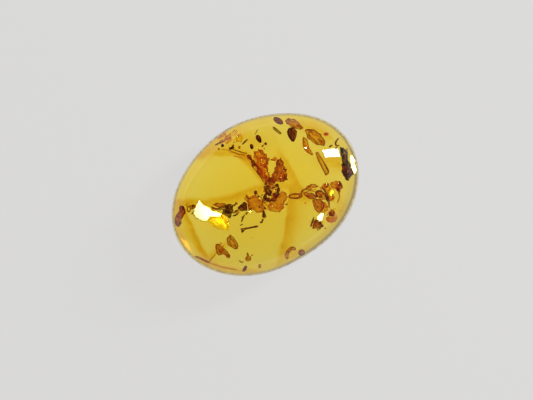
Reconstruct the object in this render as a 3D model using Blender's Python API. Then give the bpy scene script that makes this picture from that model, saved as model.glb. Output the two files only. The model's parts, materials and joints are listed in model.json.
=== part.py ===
"""An oval amber cabochon with plant debris sealed in it, lying on its back.

The stone's long axis is +X, its dome faces +Z, and the origin is the middle of its footprint on
the surface. The amber is parted along its girdle plane, so that each sealed piece has a pocket.
Debris is laid out where it is seen from straight above. The dome bends that view as a lens does,
so every point of a piece is moved from where it is seen to where it really lies.
"""

import math

import bmesh
import bpy
from mathutils import Vector

MM = 0.001

# Driving dimensions of the stone
LENGTH = 20.0 * MM
WIDTH = 15.1 * MM
DOME_HEIGHT = 4.8 * MM
BACK_DEPTH = 2.6 * MM
REST_SHARE = 0.8
GAP = 0.3 * MM
REFRACTIVE_INDEX = 1.54

# The oval is cut by hand: small waves in its radius, as shares of it
WAVE_OF_THREE = -0.006
WAVE_OF_FIVE = 0.005

# Fineness of the faceted surfaces
OVAL_STEPS = 54
DOME_RINGS = 10
BACK_RINGS = 7
ROD_SIDES = 6
SEED_SIDES = 8
WELL_SIDES = 8

# The flatter middle of a flake: how far out it reaches, and its share of the full thickness
FLAKE_INNER_SHARE = 0.6
FLAKE_INNER_DEPTH = 0.8

HALF_LENGTH = LENGTH / 2
HALF_WIDTH = WIDTH / 2


def colour_of(red, green, blue):
    """Turns display values from 0 to 255 into linear ones."""
    return tuple((value / 255) ** 2.2 for value in (red, green, blue)) + (1.0,)


AMBER = ("amber", colour_of(217, 170, 45), 0.05, 0.4)
ORANGE = ("orange_flake", colour_of(196, 104, 12), 0.45, 1.0)
GOLD = ("golden_flake", colour_of(214, 150, 24), 0.4, 1.0)
BROWN = ("brown_bark", colour_of(112, 52, 16), 0.6, 1.0)
DARK = ("dark_seed", colour_of(66, 26, 10), 0.45, 1.0)
OLIVE = ("olive_stem", colour_of(98, 88, 20), 0.5, 1.0)


def unevenness(angle):
    """The hand-cut oval's radius at an angle, as a share of the true ellipse's."""
    return 1 + WAVE_OF_THREE * math.sin(3 * angle) + WAVE_OF_FIVE * math.sin(5 * angle)


def share_out(x, y):
    """How far out a point lies: 0 in the middle, 1 on the stone's outline."""
    ellipse_share = math.hypot(x / HALF_LENGTH, y / HALF_WIDTH)
    return ellipse_share / unevenness(math.atan2(y, x))


def oval_point(share, turn):
    """The point at a share of the outline, at one turn of the ellipse's own angle."""
    x = HALF_LENGTH * math.cos(turn)
    y = HALF_WIDTH * math.sin(turn)
    scale = share * unevenness(math.atan2(y, x))
    return x * scale, y * scale


def width_centre():
    """Half way between the outline's lowest and highest y, which the waves shift off zero."""
    turns = [2 * math.pi * step / OVAL_STEPS for step in range(OVAL_STEPS)]
    heights = [oval_point(1, turn)[1] for turn in turns]
    return (max(heights) + min(heights)) / 2


CENTRE_Y = width_centre()


def dome_rise(x, y):
    """Height of the dome above the girdle."""
    return DOME_HEIGHT * math.sqrt(max(0.0, 1 - share_out(x, y) ** 2))


def real_place(x, y, z):
    """Where a point at height z lies, when it is seen at x, y from straight above."""
    step = 0.01 * MM
    surface = dome_rise(x, y)
    slope_x = (dome_rise(x + step, y) - dome_rise(x - step, y)) / (2 * step)
    slope_y = (dome_rise(x, y + step) - dome_rise(x, y - step)) / (2 * step)
    normal = Vector((-slope_x, -slope_y, 1)).normalized()
    bend = 1 / REFRACTIVE_INDEX
    cosine = normal.z
    inner = math.sqrt(1 - bend * bend * (1 - cosine * cosine))
    ray = Vector((0, 0, -1)) * bend + normal * (bend * cosine - inner)
    run = (BACK_DEPTH + surface - z) / -ray.z
    return Vector((x + ray.x * run, y + ray.y * run - CENTRE_Y, z))


def clear_scene():
    for old in list(bpy.data.objects):
        bpy.data.objects.remove(old, do_unlink=True)


def material_for(finish):
    name, colour, roughness, alpha = finish
    material = bpy.data.materials.get(name)
    if material is None:
        material = bpy.data.materials.new(name)
        material.use_nodes = True
        shader = material.node_tree.nodes["Principled BSDF"]
        shader.inputs["Base Color"].default_value = colour
        shader.inputs["Roughness"].default_value = roughness
        shader.inputs["Metallic"].default_value = 0.0
        shader.inputs["Alpha"].default_value = alpha
    return material


def add_object(name, build, finish, smooth_angle=math.radians(50)):
    """Makes an object from a bmesh, with its faces pointing out."""
    bmesh.ops.recalc_face_normals(build, faces=build.faces)
    mesh = bpy.data.meshes.new(name)
    build.to_mesh(mesh)
    build.free()
    mesh.shade_smooth()
    mesh.set_sharp_from_angle(angle=smooth_angle)
    mesh.materials.append(material_for(finish))
    item = bpy.data.objects.new(name, mesh)
    bpy.context.scene.collection.objects.link(item)
    return item


def add_ring(build, points):
    return [build.verts.new(point) for point in points]


def join_rings(build, lower, upper):
    count = len(lower)
    for index in range(count):
        following = (index + 1) % count
        build.faces.new((lower[index], lower[following], upper[following], upper[index]))


def close_to_point(build, ring, tip):
    for index in range(len(ring)):
        build.faces.new((ring[index], ring[(index + 1) % len(ring)], tip))


# The amber


def oval_ring(build, share, height):
    points = []
    for step in range(OVAL_STEPS):
        x, y = oval_point(share, 2 * math.pi * step / OVAL_STEPS)
        points.append((x, y - CENTRE_Y, height))
    return add_ring(build, points)


def amber_dome():
    build = bmesh.new()
    lift = GAP / 2
    lowest = math.asin(lift / DOME_HEIGHT)
    rings = []
    for number in range(DOME_RINGS):
        angle = lowest + (math.pi / 2 - lowest) * number / DOME_RINGS
        rings.append(oval_ring(build, math.cos(angle), BACK_DEPTH + DOME_HEIGHT * math.sin(angle)))
    for lower, upper in zip(rings, rings[1:]):
        join_rings(build, lower, upper)
    top = build.verts.new((0, -CENTRE_Y, BACK_DEPTH + DOME_HEIGHT))
    close_to_point(build, rings[-1], top)
    build.faces.new(rings[0])
    return add_object("amber_dome", build, AMBER)


def amber_back():
    build = bmesh.new()
    drop = GAP / 2
    highest = math.asin(drop / BACK_DEPTH)
    rings = []
    for number in range(BACK_RINGS + 1):
        angle = highest + (math.pi / 2 - highest) * number / BACK_RINGS
        share = REST_SHARE + (1 - REST_SHARE) * math.cos(angle)
        rings.append(oval_ring(build, share, BACK_DEPTH * (1 - math.sin(angle))))
    for upper, lower in zip(rings, rings[1:]):
        join_rings(build, lower, upper)
    build.faces.new(rings[0])
    build.faces.new(rings[-1])
    return add_object("amber_back", build, AMBER)


# Shapes of the debris, laid out as seen from above. Sizes are in millimetres, and a level is
# the height of a piece's middle above the girdle plane.


def settle(name, build, finish):
    """Moves a piece from where it is seen to where it lies, and adds it to the scene."""
    for corner in build.verts:
        seen = corner.co * MM
        corner.co = real_place(seen.x, seen.y, seen.z + BACK_DEPTH)
    return add_object(name, build, finish)


def lean(points, level, rise):
    """Lifts a run of flat points from the level, by rise in all from first to last."""
    last = max(1, len(points) - 1)
    return [Vector((x, y, level + rise * (step / last - 0.5))) for step, (x, y) in enumerate(points)]


def across(points, step):
    """The level direction square to a path at one of its points."""
    before = points[max(0, step - 1)]
    after = points[min(len(points) - 1, step + 1)]
    along = (after - before).normalized()
    return Vector((-along.y, along.x, 0)).normalized()


def sweep(points, half_widths, flatness=1.0, sides=ROD_SIDES):
    """A closed rod along a path, pointed at both ends. Flatness is its height over its width."""
    build = bmesh.new()
    rings = []
    for step in range(1, len(points) - 1):
        side = across(points, step) * half_widths[step]
        up = Vector((0, 0, half_widths[step] * flatness))
        ring = []
        for number in range(sides):
            angle = 2 * math.pi * number / sides
            ring.append(points[step] + side * math.cos(angle) + up * math.sin(angle))
        rings.append(add_ring(build, ring))
    for lower, upper in zip(rings, rings[1:]):
        join_rings(build, lower, upper)
    close_to_point(build, rings[0], build.verts.new(points[0]))
    close_to_point(build, rings[-1], build.verts.new(points[-1]))
    return build


def smooth_path(points, steps):
    """Points along a smooth curve through the given ones."""
    padded = [2 * points[0] - points[1]] + list(points) + [2 * points[-1] - points[-2]]
    path = []
    for number in range(steps + 1):
        place = number / steps * (len(points) - 1)
        segment = min(int(place), len(points) - 2)
        t = place - segment
        a, b, c, d = padded[segment:segment + 4]
        curve = 2 * b + (c - a) * t + (2 * a - 5 * b + 4 * c - d) * t ** 2
        path.append((curve + (3 * b - a - 3 * c + d) * t ** 3) / 2)
    return path


def rod(name, points, width, finish, level, rise=0.0, steps=6, end_width=None, flatness=1.0,
        beads=0, bead_size=0.45):
    """A stem, needle or thread. Beads swells it at equal distances, for a chain or a knot."""
    path = smooth_path(lean(points, level, rise), steps)
    last = width if end_width is None else end_width
    widths = []
    for step in range(steps + 1):
        along = step / steps
        swell = 1.0
        if beads:
            swell = 1 - bead_size + bead_size * abs(math.sin(math.pi * beads * along))
        widths.append((width + (last - width) * along) / 2 * swell)
    return settle(name, sweep(path, widths, flatness), finish)


def seed_build(centre, length, width, angle, level, taper=0.0, rings=5, flatness=0.8, tilt=0.0):
    """A rounded grain. Taper draws its far end out to a point, as on a drop."""
    turn = math.radians(angle)
    along = Vector((math.cos(turn), math.sin(turn), math.tan(math.radians(tilt))))
    middle = Vector((centre[0], centre[1], level))
    points = []
    widths = []
    for step in range(rings + 2):
        place = -math.cos(math.pi * step / (rings + 1))
        points.append(middle + along * (length / 2 * place))
        round_width = math.sqrt(max(0.0, 1 - place * place))
        widths.append(width / 2 * round_width * (1 - taper * (place + 1) / 2))
    return sweep(points, widths, flatness, SEED_SIDES)


def seed(name, centre, length, width, angle, level, finish, **shape):
    return settle(name, seed_build(centre, length, width, angle, level, **shape), finish)


def middle_of(outline):
    count = len(outline)
    return Vector((sum(x for x, _ in outline) / count, sum(y for _, y in outline) / count, 0))


def flake(name, outline, thickness, finish, level, curl=0.0, tilt_x=0.0, tilt_y=0.0):
    """A thin scale with a sharp rim. Curl lifts its rim, and the tilts are slopes along x and y."""
    build = bmesh.new()
    middle = middle_of(outline)
    reach = max((Vector((x, y, 0)) - middle).length for x, y in outline)

    def place(point, side):
        offset = point - middle
        height = level + offset.x * tilt_x + offset.y * tilt_y
        height += curl * (offset.length / reach) ** 2
        return Vector((point.x, point.y, height + side * thickness / 2))

    rim_points = [Vector((x, y, 0)) for x, y in outline]
    inner_points = [middle + (point - middle) * FLAKE_INNER_SHARE for point in rim_points]
    rim = add_ring(build, [place(point, 0) for point in rim_points])
    for side in (-1, 1):
        inner = add_ring(build, [place(point, side * FLAKE_INNER_DEPTH) for point in inner_points])
        join_rings(build, rim, inner)
        close_to_point(build, inner, build.verts.new(place(middle, side)))
    return settle(name, build, finish)


def chip(name, outline, thickness, finish, level, top_share=0.62, bottom_share=0.75, slide=(0.0, 0.0)):
    """An angular crumb: its outline at mid height, drawn in to flat faces above and below."""
    build = bmesh.new()
    middle = middle_of(outline)
    shift = Vector((slide[0], slide[1], 0))
    rings = []
    for share, side in ((bottom_share, -0.5), (1.0, 0.0), (top_share, 0.5)):
        ring = []
        for x, y in outline:
            offset = (Vector((x, y, 0)) - middle) * share
            ring.append(middle + offset + shift * side * 2 + Vector((0, 0, level + side * thickness)))
        rings.append(add_ring(build, ring))
    join_rings(build, rings[0], rings[1])
    join_rings(build, rings[1], rings[2])
    close_to_point(build, rings[0], build.verts.new(middle - shift + Vector((0, 0, level - thickness / 2))))
    close_to_point(build, rings[2], build.verts.new(middle + shift + Vector((0, 0, level + thickness / 2))))
    return settle(name, build, finish)


def loop(name, centre, length, width, thickness, angle, finish, level, steps=12):
    """A long ring, open in the middle."""
    build = bmesh.new()
    turn = math.radians(angle)
    along = Vector((math.cos(turn), math.sin(turn), 0))
    side = Vector((-math.sin(turn), math.cos(turn), 0))
    middle = Vector((centre[0], centre[1], level))
    rings = []
    for step in range(steps):
        place = 2 * math.pi * step / steps
        spine = middle + along * (math.cos(place) * (length - thickness) / 2)
        spine += side * (math.sin(place) * (width - thickness) / 2)
        out = (along * math.cos(place) + side * math.sin(place)) * thickness / 2
        up = Vector((0, 0, thickness / 2))
        ring = []
        for number in range(ROD_SIDES):
            around = 2 * math.pi * number / ROD_SIDES
            ring.append(spine + out * math.cos(around) + up * math.sin(around))
        rings.append(add_ring(build, ring))
    for step in range(steps):
        join_rings(build, rings[step], rings[(step + 1) % steps])
    return settle(name, build, finish)


def unite(main, *others):
    """Joins other shapes to a piece in one body. They stay as hidden guides."""
    for other in others:
        other.hide_render = True
        other.display_type = "WIRE"
        other.name = "guide_" + other.name
        joint = main.modifiers.new("unite", "BOOLEAN")
        joint.operation = "UNION"
        joint.solver = "EXACT"
        joint.object = other
    return main


# The debris, from the top of the stone round to its right end


def debris_top_right():
    seed("seed_top", (4.85, 5.69), 1.12, 0.62, -63, 0.1, DARK)
    flake("flake_top", [(5.44, 5.34), (5.87, 5.38), (6.38, 4.98), (6.58, 4.42), (6.62, 3.8),
                        (6.38, 3.75), (5.92, 4.14), (5.62, 4.55), (5.42, 5.0)],
          0.32, ORANGE, 0.15, curl=0.12, tilt_x=0.1)
    flake("seed_dark", [(5.38, 4.54), (5.85, 4.36), (5.95, 3.83), (5.59, 3.37), (5.16, 3.08),
                        (4.98, 3.21), (4.91, 3.81), (5.03, 4.3)], 0.5, BROWN, -0.6)
    rod("splinter_green", [(4.05, 5.46), (4.23, 4.88), (4.43, 4.38)], 0.28, OLIVE, 0.45, rise=0.3,
        flatness=0.5)
    flake("flake_wing", [(6.72, 3.5), (7.08, 3.45), (7.52, 3.08), (7.8, 2.5), (7.92, 1.94),
                         (7.86, 1.44), (7.56, 1.16), (7.3, 1.4), (6.98, 1.66), (6.7, 2.12),
                         (6.56, 2.6), (6.53, 3.05)],
          0.34, ORANGE, 0.2, curl=-0.15, tilt_y=0.12)
    chip("chip_red", [(8.08, 2.2), (8.3, 2.3), (8.58, 2.12), (8.56, 1.96), (8.28, 1.92)],
         0.28, DARK, 0.15)
    flake("flake_tear", [(6.2, 3.02), (6.4, 2.68), (6.32, 2.14), (6.14, 1.74), (6.21, 1.45),
                         (6.19, 1.02), (6.02, 0.96), (5.8, 1.3), (5.63, 1.78), (5.72, 2.34),
                         (5.98, 2.84)],
          0.26, ORANGE, 0.85, curl=0.12, tilt_y=-0.06)
    flake("reed_blade", [(6.45, 1.02), (6.72, 0.95), (6.74, 0.34), (6.78, -0.5), (6.76, -1.2),
                         (6.51, -1.49), (6.17, -1.46), (6.2, -1.06), (6.24, -0.32), (6.29, 0.41)],
          0.24, GOLD, 0.2, tilt_y=0.08)
    rod("curl_right", [(9.27, 1.11), (8.96, 1.02), (8.69, 0.84), (8.67, 0.57), (8.99, 0.5)], 0.18,
        BROWN, 0.05, rise=0.2, steps=8)
    chip("bark_stick", [(8.83, 0.24), (9.16, 0.1), (9.24, -0.19), (9.32, -0.62), (9.16, -0.84),
                        (8.96, -1.02), (8.93, -1.43), (8.81, -2.02), (8.79, -2.5), (8.6, -2.82),
                        (8.18, -2.88), (7.92, -3.07), (7.78, -2.74), (7.72, -2.3), (7.78, -1.9),
                        (8.02, -1.7), (8.32, -1.14), (8.57, -0.55), (8.74, -0.03)],
         0.62, BROWN, -0.05, top_share=0.7, bottom_share=0.8, slide=(-0.06, 0.0))


def debris_upper_left():
    seed("drop_big", (2.23, 5.09), 0.9, 0.64, -92, 0.2, DARK, taper=0.45)
    seed("drop_mid", (1.23, 4.79), 0.56, 0.38, -110, 0.1, DARK, rings=4)
    rod("needle_upper", [(0.48, 5.44), (0.88, 5.55), (1.3, 5.63)], 0.16, BROWN, 0.4, rise=0.2)
    rod("needle_edge", [(-1.94, 6.77), (-1.46, 6.75), (-0.92, 6.71)], 0.17, DARK, 0.25, rise=0.1)
    seed("drop_left", (-1.27, 6.36), 0.38, 0.32, 60, -0.25, DARK, rings=3)
    seed("seed_left", (-0.6, 5.67), 0.6, 0.28, -10, 0.3, DARK, rings=4)
    chip("chip_left", [(-0.63, 6.52), (-0.61, 6.74), (-0.37, 6.72), (-0.19, 6.53), (-0.23, 6.33),
                       (-0.46, 6.35)], 0.26, ORANGE, 0.2)
    chip("chip_edge", [(-1.37, 7.21), (-1.03, 7.38), (-0.65, 7.44), (-0.35, 7.34), (-0.39, 7.13),
                       (-0.74, 7.07), (-1.11, 7.08)], 0.3, ORANGE, 0.0)


def debris_centre():
    crust = flake("crust_upper", [(1.22, 4.24), (1.47, 4.16), (1.72, 4.3), (1.86, 4.1),
                                  (1.95, 3.65), (2.06, 3.17), (1.98, 2.8), (1.56, 2.23),
                                  (1.54, 1.78), (1.37, 1.29), (1.21, 0.8), (0.83, 0.75),
                                  (0.59, 0.95), (0.47, 1.64), (0.43, 2.37), (0.57, 2.92),
                                  (0.65, 3.46), (0.96, 3.79), (0.99, 4.08)],
                  0.5, ORANGE, 1.05, curl=-0.1, tilt_y=0.1)
    bridge = rod("crust_bridge", [(1.5, 3.0), (1.99, 2.84), (2.4, 2.59), (2.78, 2.28)], 0.26,
                 ORANGE, 1.0, flatness=0.8)
    unite(crust, bridge)
    rod("bead_chain", [(0.45, 4.28), (0.5, 3.9), (0.54, 3.45), (0.5, 2.88)], 0.42, BROWN, 0.1,
        rise=0.1, steps=10, beads=2, bead_size=0.6)
    flake("lobe_right", [(2.66, 2.23), (2.99, 2.24), (3.21, 2.34), (3.2, 1.93), (3.08, 1.47),
                         (3.1, 1.05), (2.94, 0.61), (2.59, 0.17), (2.28, 0.09), (1.92, 0.34),
                         (1.42, 0.47), (0.99, 0.69), (1.12, 1.03), (1.41, 1.21), (1.82, 1.44),
                         (2.23, 1.79)],
          0.36, ORANGE, 0.25, curl=0.14)
    rod("knot_centre", [(0.49, 0.66), (0.27, 0.4), (0.2, -0.04), (-0.22, -0.3), (0.03, -0.72),
                        (0.46, -0.92), (0.87, -0.78), (1.25, -0.43), (1.45, -0.04), (1.3, 0.3)],
        0.46, DARK, -0.5, steps=24, beads=8, bead_size=0.45, flatness=0.8)
    seed("bead_centre", (0.53, -0.1), 0.46, 0.42, 30, 0.2, DARK, rings=3)
    seed("bud", (-0.76, 0.6), 0.44, 0.36, 60, -0.15, BROWN, rings=3)
    flake("wing_left", [(-1.81, 0.86), (-1.6, 0.8), (-1.46, 0.46), (-1.07, 0.48), (-0.84, 0.34),
                        (-0.8, -0.12), (-0.58, -0.57), (-0.84, -1.23), (-1.17, -1.5),
                        (-1.76, -1.06), (-1.94, -0.62), (-2.16, -0.4), (-2.04, 0.11), (-2.06, 0.46)],
          0.28, GOLD, 0.5, curl=0.1, tilt_x=-0.08)
    flake("wing_right", [(0.7, -0.34), (1.67, -0.91), (1.86, -1.43), (1.28, -1.58), (0.88, -2.26),
                         (0.3, -2.28), (-0.2, -2.02), (-0.54, -1.54), (-0.03, -0.9)],
          0.3, ORANGE, 0.62, curl=0.08, tilt_x=0.06)
    rod("thorn", [(-0.99, -1.33), (-1.12, -1.69), (-1.28, -2.1)], 0.14, DARK, -0.1, end_width=0.5,
        rise=-0.1, flatness=0.6)
    rod("hook_thorn", [(-1.91, -2.12), (-1.76, -2.31), (-1.54, -2.12), (-1.38, -2.12)], 0.18, DARK,
        0.4, rise=0.1, steps=7)
    flake("chip_triangle", [(-3.1, 0.13), (-2.76, 0.27), (-2.25, 0.38), (-2.08, 0.09),
                            (-2.22, -0.27), (-2.43, -0.49), (-2.82, -0.38), (-3.02, -0.12)],
          0.3, BROWN, -0.2, tilt_x=0.1)
    rod("leg_a", [(-3.95, -0.27), (-3.62, -0.36), (-3.14, -0.26)], 0.16, DARK, 0.4, rise=0.1)
    rod("leg_b", [(-2.78, -0.76), (-3.12, -0.94), (-3.5, -1.26)], 0.16, BROWN, 0.35, rise=-0.1)
    fray = rod("twig_fray", [(-3.48, -2.0), (-3.76, -2.1), (-4.05, -2.14)], 0.26, BROWN, 0.05,
               flatness=0.6)
    unite(rod("twig_lower", [(-3.94, -1.85), (-3.24, -2.12), (-2.19, -2.45)], 0.24, DARK, 0.1,
              rise=0.2, steps=12, beads=4, bead_size=0.35), fray)


def debris_left():
    loop("knot_left", (-3.77, 0.71), 0.86, 0.56, 0.15, -18, OLIVE, 0.4)
    chip("clot_left", [(-4.53, 0.78), (-4.12, 0.66), (-3.74, 0.42), (-3.56, 0.13), (-3.93, -0.04),
                       (-4.08, -0.32), (-4.4, -0.35), (-4.46, -0.04), (-4.66, 0.2), (-4.9, 0.25),
                       (-4.91, 0.42), (-4.56, 0.5)], 0.34, DARK, -0.2)
    rod("curl_left", [(-5.33, 1.64), (-5.14, 1.26), (-4.82, 1.04), (-4.43, 1.18)], 0.2, BROWN, 0.3,
        rise=0.1, steps=8)
    flake("flake_left_edge", [(-8.01, 3.31), (-7.7, 3.06), (-7.72, 2.67), (-7.87, 2.35),
                              (-8.22, 2.15), (-8.55, 1.99), (-8.75, 1.75), (-9.08, 1.48),
                              (-9.31, 1.58), (-9.36, 1.99), (-9.13, 2.44), (-8.78, 2.7),
                              (-8.43, 2.79), (-8.21, 3.07)],
          0.34, BROWN, 0.0, curl=0.1)
    loop("loop_left", (-7.4, 2.54), 0.66, 0.46, 0.15, 60, BROWN, 0.6)


def debris_bottom():
    flake("flake_bottom", [(-5.06, -1.74), (-4.94, -2.13), (-4.88, -2.57), (-4.92, -3.18),
                           (-5.17, -3.36), (-5.38, -3.28), (-5.56, -3.05), (-5.73, -2.8),
                           (-5.82, -2.36), (-5.57, -1.9)],
          0.32, ORANGE, 0.25, curl=-0.12, tilt_y=0.08)
    flake("flake_bottom_left", [(-6.79, -1.9), (-6.56, -2.01), (-6.42, -2.38), (-6.25, -2.79),
                                (-6.13, -3.39), (-6.31, -3.77), (-6.49, -3.72), (-6.54, -3.34),
                                (-6.76, -3.13), (-7.08, -3.01), (-7.24, -2.68), (-7.08, -2.26)],
          0.3, BROWN, 0.1, curl=0.1)
    stem = seed("seed_stem", (-4.6, -4.42), 0.5, 0.2, 60, 0.0, BROWN, rings=3)
    unite(seed("seed_ring", (-4.75, -4.78), 0.62, 0.58, 0, 0.0, BROWN, rings=4), stem)
    rod("splinter_edge", [(-9.31, -1.83), (-9.0, -2.2), (-8.68, -2.68), (-8.26, -3.28)], 0.26, BROWN,
        0.0, steps=7, end_width=0.16)
    seed("splinter_bottom", (-5.57, -5.48), 0.72, 0.34, 28, 0.0, DARK, rings=4)
    seed("drop_bottom", (-4.14, -6.01), 0.46, 0.3, 50, 0.0, BROWN, rings=3)
    seed("bead_bottom", (0.2, -6.95), 0.68, 0.68, 0, 0.0, DARK, flatness=1.0)
    rod("flake_bottom_right", [(-1.36, -6.81), (-1.19, -6.38), (-0.8, -6.14), (-0.42, -6.12),
                               (-0.1, -6.42)], 0.44, BROWN, -0.35, steps=9, beads=3,
        bead_size=0.25, flatness=0.5)


def debris_right():
    stalk = rod("fork_stalk", [(2.72, -2.0), (3.12, -1.78), (3.36, -1.62), (3.62, -1.58)], 0.24,
                BROWN, -0.05)
    unite(loop("fork_ring", (2.53, -1.74), 1.5, 0.62, 0.2, -27, BROWN, -0.05), stalk)
    flake("leaf_right_upper", [(3.59, -1.63), (4.03, -1.46), (4.49, -1.47), (4.83, -1.64),
                               (5.02, -2.06), (4.7, -2.04), (4.45, -1.87), (4.12, -2.01),
                               (3.84, -1.82)], 0.24, BROWN, 0.6, curl=0.06)
    flake("leaf_mid", [(3.4, -1.85), (3.82, -2.04), (4.23, -2.33), (4.35, -2.72), (4.38, -2.97),
                       (3.9, -2.89), (3.6, -2.66), (3.37, -2.21)], 0.26, BROWN, -0.5, tilt_x=0.06)
    rod("tangle_right", [(4.95, -3.77), (5.16, -3.25), (5.05, -2.72), (4.71, -2.4), (4.41, -2.58),
                         (4.55, -2.99), (4.9, -3.09)], 0.22, DARK, 0.02, steps=18, beads=6,
        bead_size=0.35)
    chip("chip_right_big", [(3.73, -2.97), (4.17, -2.96), (4.58, -3.31), (4.68, -3.8),
                            (4.37, -4.23), (3.87, -4.42), (3.65, -4.33), (3.55, -3.84),
                            (3.61, -3.4)], 0.5, BROWN, 0.75)
    rod("strand_right", [(5.25, -2.22), (5.36, -2.83), (5.28, -3.54), (5.0, -4.26)], 0.2, GOLD, 0.5,
        steps=8)
    loop("bead_right", (5.79, -2.36), 0.54, 0.5, 0.16, 0, BROWN, -0.3, steps=9)
    chip("chip_right_top", [(6.06, -2.55), (6.42, -2.37), (6.82, -2.49), (7.11, -2.7),
                            (7.18, -3.01), (7.14, -3.35), (6.91, -3.45), (6.76, -3.3),
                            (6.45, -3.65), (6.47, -3.3), (6.25, -3.07), (6.03, -2.85)],
         0.4, ORANGE, 0.35)
    seed("bead_right_low", (4.83, -5.02), 0.64, 0.56, 60, 0.15, BROWN, flatness=1.0)
    chip("chip_right_low", [(4.01, -5.32), (4.34, -5.26), (4.68, -5.37), (4.92, -5.62),
                            (4.68, -5.84), (4.27, -5.91), (4.05, -5.64)], 0.34, ORANGE, -0.55)
    chip("chip_right_bottom", [(2.83, -4.93), (3.14, -4.81), (3.32, -5.1), (3.41, -5.44),
                               (3.12, -5.74), (2.73, -5.71), (2.51, -5.44), (2.58, -5.13)],
         0.4, BROWN, 0.25)
    rod("strip_right_bottom", [(3.11, -4.45), (2.69, -4.84), (2.25, -5.17)], 0.16, DARK, -0.35)


# The pockets


def well_round(piece):
    """A cutter that clears a piece by the gap all round, and opens on the parting plane."""
    shape = piece.evaluated_get(bpy.context.evaluated_depsgraph_get()).data
    corners = [corner.co for corner in shape.vertices]
    floor = min(BACK_DEPTH, min(corner.z for corner in corners) - GAP)
    roof = max(BACK_DEPTH, max(corner.z for corner in corners) + GAP)
    sides = []
    for number in range(WELL_SIDES):
        angle = 2 * math.pi * number / WELL_SIDES
        outward = Vector((math.cos(angle), math.sin(angle), 0))
        sides.append((outward, max(corner.dot(outward) for corner in corners) + GAP))
    outline = []
    for number, (outward, reach) in enumerate(sides):
        following, following_reach = sides[(number + 1) % WELL_SIDES]
        cross = outward.x * following.y - outward.y * following.x
        x = (reach * following.y - following_reach * outward.y) / cross
        y = (outward.x * following_reach - following.x * reach) / cross
        outline.append((x, y))
    build = bmesh.new()
    lower = add_ring(build, [(x, y, floor) for x, y in outline])
    upper = add_ring(build, [(x, y, roof) for x, y in outline])
    join_rings(build, lower, upper)
    build.faces.new(lower)
    build.faces.new(upper)
    well = add_object("well_" + piece.name, build, AMBER)
    well.hide_render = True
    well.display_type = "WIRE"
    return well


def cut_wells(halves, pieces):
    wells = bpy.data.collections.new("wells")
    bpy.context.scene.collection.children.link(wells)
    for piece in pieces:
        well = well_round(piece)
        bpy.context.scene.collection.objects.unlink(well)
        wells.objects.link(well)
    for half in halves:
        cut = half.modifiers.new("wells", "BOOLEAN")
        cut.operation = "DIFFERENCE"
        cut.solver = "EXACT"
        cut.operand_type = "COLLECTION"
        cut.collection = wells


clear_scene()
debris_top_right()
debris_upper_left()
debris_centre()
debris_left()
debris_bottom()
debris_right()
debris = [item for item in bpy.data.objects if not item.hide_render]
cut_wells([amber_dome(), amber_back()], debris)
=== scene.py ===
"""The looks of an oval amber cabochon with plant debris sealed in it, on a plain pale surface.

Everything is in metres and in the stone's own frame: +X along the oval's long axis, +Z up out of
the dome, and the surface at z = 0. Small things inside the stone are laid out in millimetres where
they are seen from straight above. The dome bends that view, and real_place gives where they lie.
"""

import json
import math
import random

import bmesh
import bpy
from mathutils import Matrix, Vector, noise
from mathutils.bvhtree import BVHTree
from mathutils.kdtree import KDTree


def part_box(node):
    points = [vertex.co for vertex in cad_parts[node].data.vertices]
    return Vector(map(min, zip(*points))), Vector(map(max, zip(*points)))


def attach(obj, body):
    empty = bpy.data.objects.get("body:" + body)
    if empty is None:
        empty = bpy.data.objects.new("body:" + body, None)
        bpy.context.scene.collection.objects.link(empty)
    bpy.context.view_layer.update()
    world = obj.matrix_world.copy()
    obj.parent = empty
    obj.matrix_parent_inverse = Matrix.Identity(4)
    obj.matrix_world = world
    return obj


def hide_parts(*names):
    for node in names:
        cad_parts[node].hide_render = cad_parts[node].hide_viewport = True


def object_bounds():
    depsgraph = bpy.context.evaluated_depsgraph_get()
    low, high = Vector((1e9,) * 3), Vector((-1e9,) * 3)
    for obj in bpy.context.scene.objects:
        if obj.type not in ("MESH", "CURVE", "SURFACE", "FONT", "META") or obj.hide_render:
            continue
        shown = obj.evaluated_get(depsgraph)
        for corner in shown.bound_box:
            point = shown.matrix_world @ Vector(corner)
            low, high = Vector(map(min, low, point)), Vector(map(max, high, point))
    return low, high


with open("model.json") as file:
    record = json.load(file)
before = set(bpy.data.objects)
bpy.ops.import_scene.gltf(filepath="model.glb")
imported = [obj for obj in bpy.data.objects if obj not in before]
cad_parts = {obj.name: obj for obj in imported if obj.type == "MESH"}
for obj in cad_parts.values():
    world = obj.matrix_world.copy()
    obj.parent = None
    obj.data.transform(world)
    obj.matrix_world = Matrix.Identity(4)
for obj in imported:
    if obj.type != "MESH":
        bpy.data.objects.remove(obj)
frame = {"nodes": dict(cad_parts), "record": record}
cad_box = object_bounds()

MM = 0.001

# The stone's sizes, read from its two halves
DOME_LOW, DOME_HIGH = (Vector(corner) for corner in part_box("amber_dome"))
BACK_LOW, BACK_HIGH = (Vector(corner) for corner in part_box("amber_back"))
GIRDLE = (DOME_LOW.z + BACK_HIGH.z) / 2
DOME_HEIGHT = DOME_HIGH.z - GIRDLE
HALF_LENGTH = (cad_box[1][0] - cad_box[0][0]) / 2
HALF_WIDTH = (cad_box[1][1] - cad_box[0][1]) / 2
REST_SHARE = 0.8
REFRACTIVE_INDEX = 1.54
WAVE_OF_THREE = -0.006
WAVE_OF_FIVE = 0.005
OVAL_STEPS = 160
DOME_RINGS = 36
BACK_RINGS = 26

# The photograph's frame: where the stone's middle is, its scale and the tilt of its long axis
IMAGE_WIDTH = 533
IMAGE_HEIGHT = 400
STONE_X = 265.15
STONE_Y = 193.9
PIXELS_PER_MM = 9.91
STONE_TURN = math.radians(30.2)
CAMERA_HEIGHT = 0.45

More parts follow.
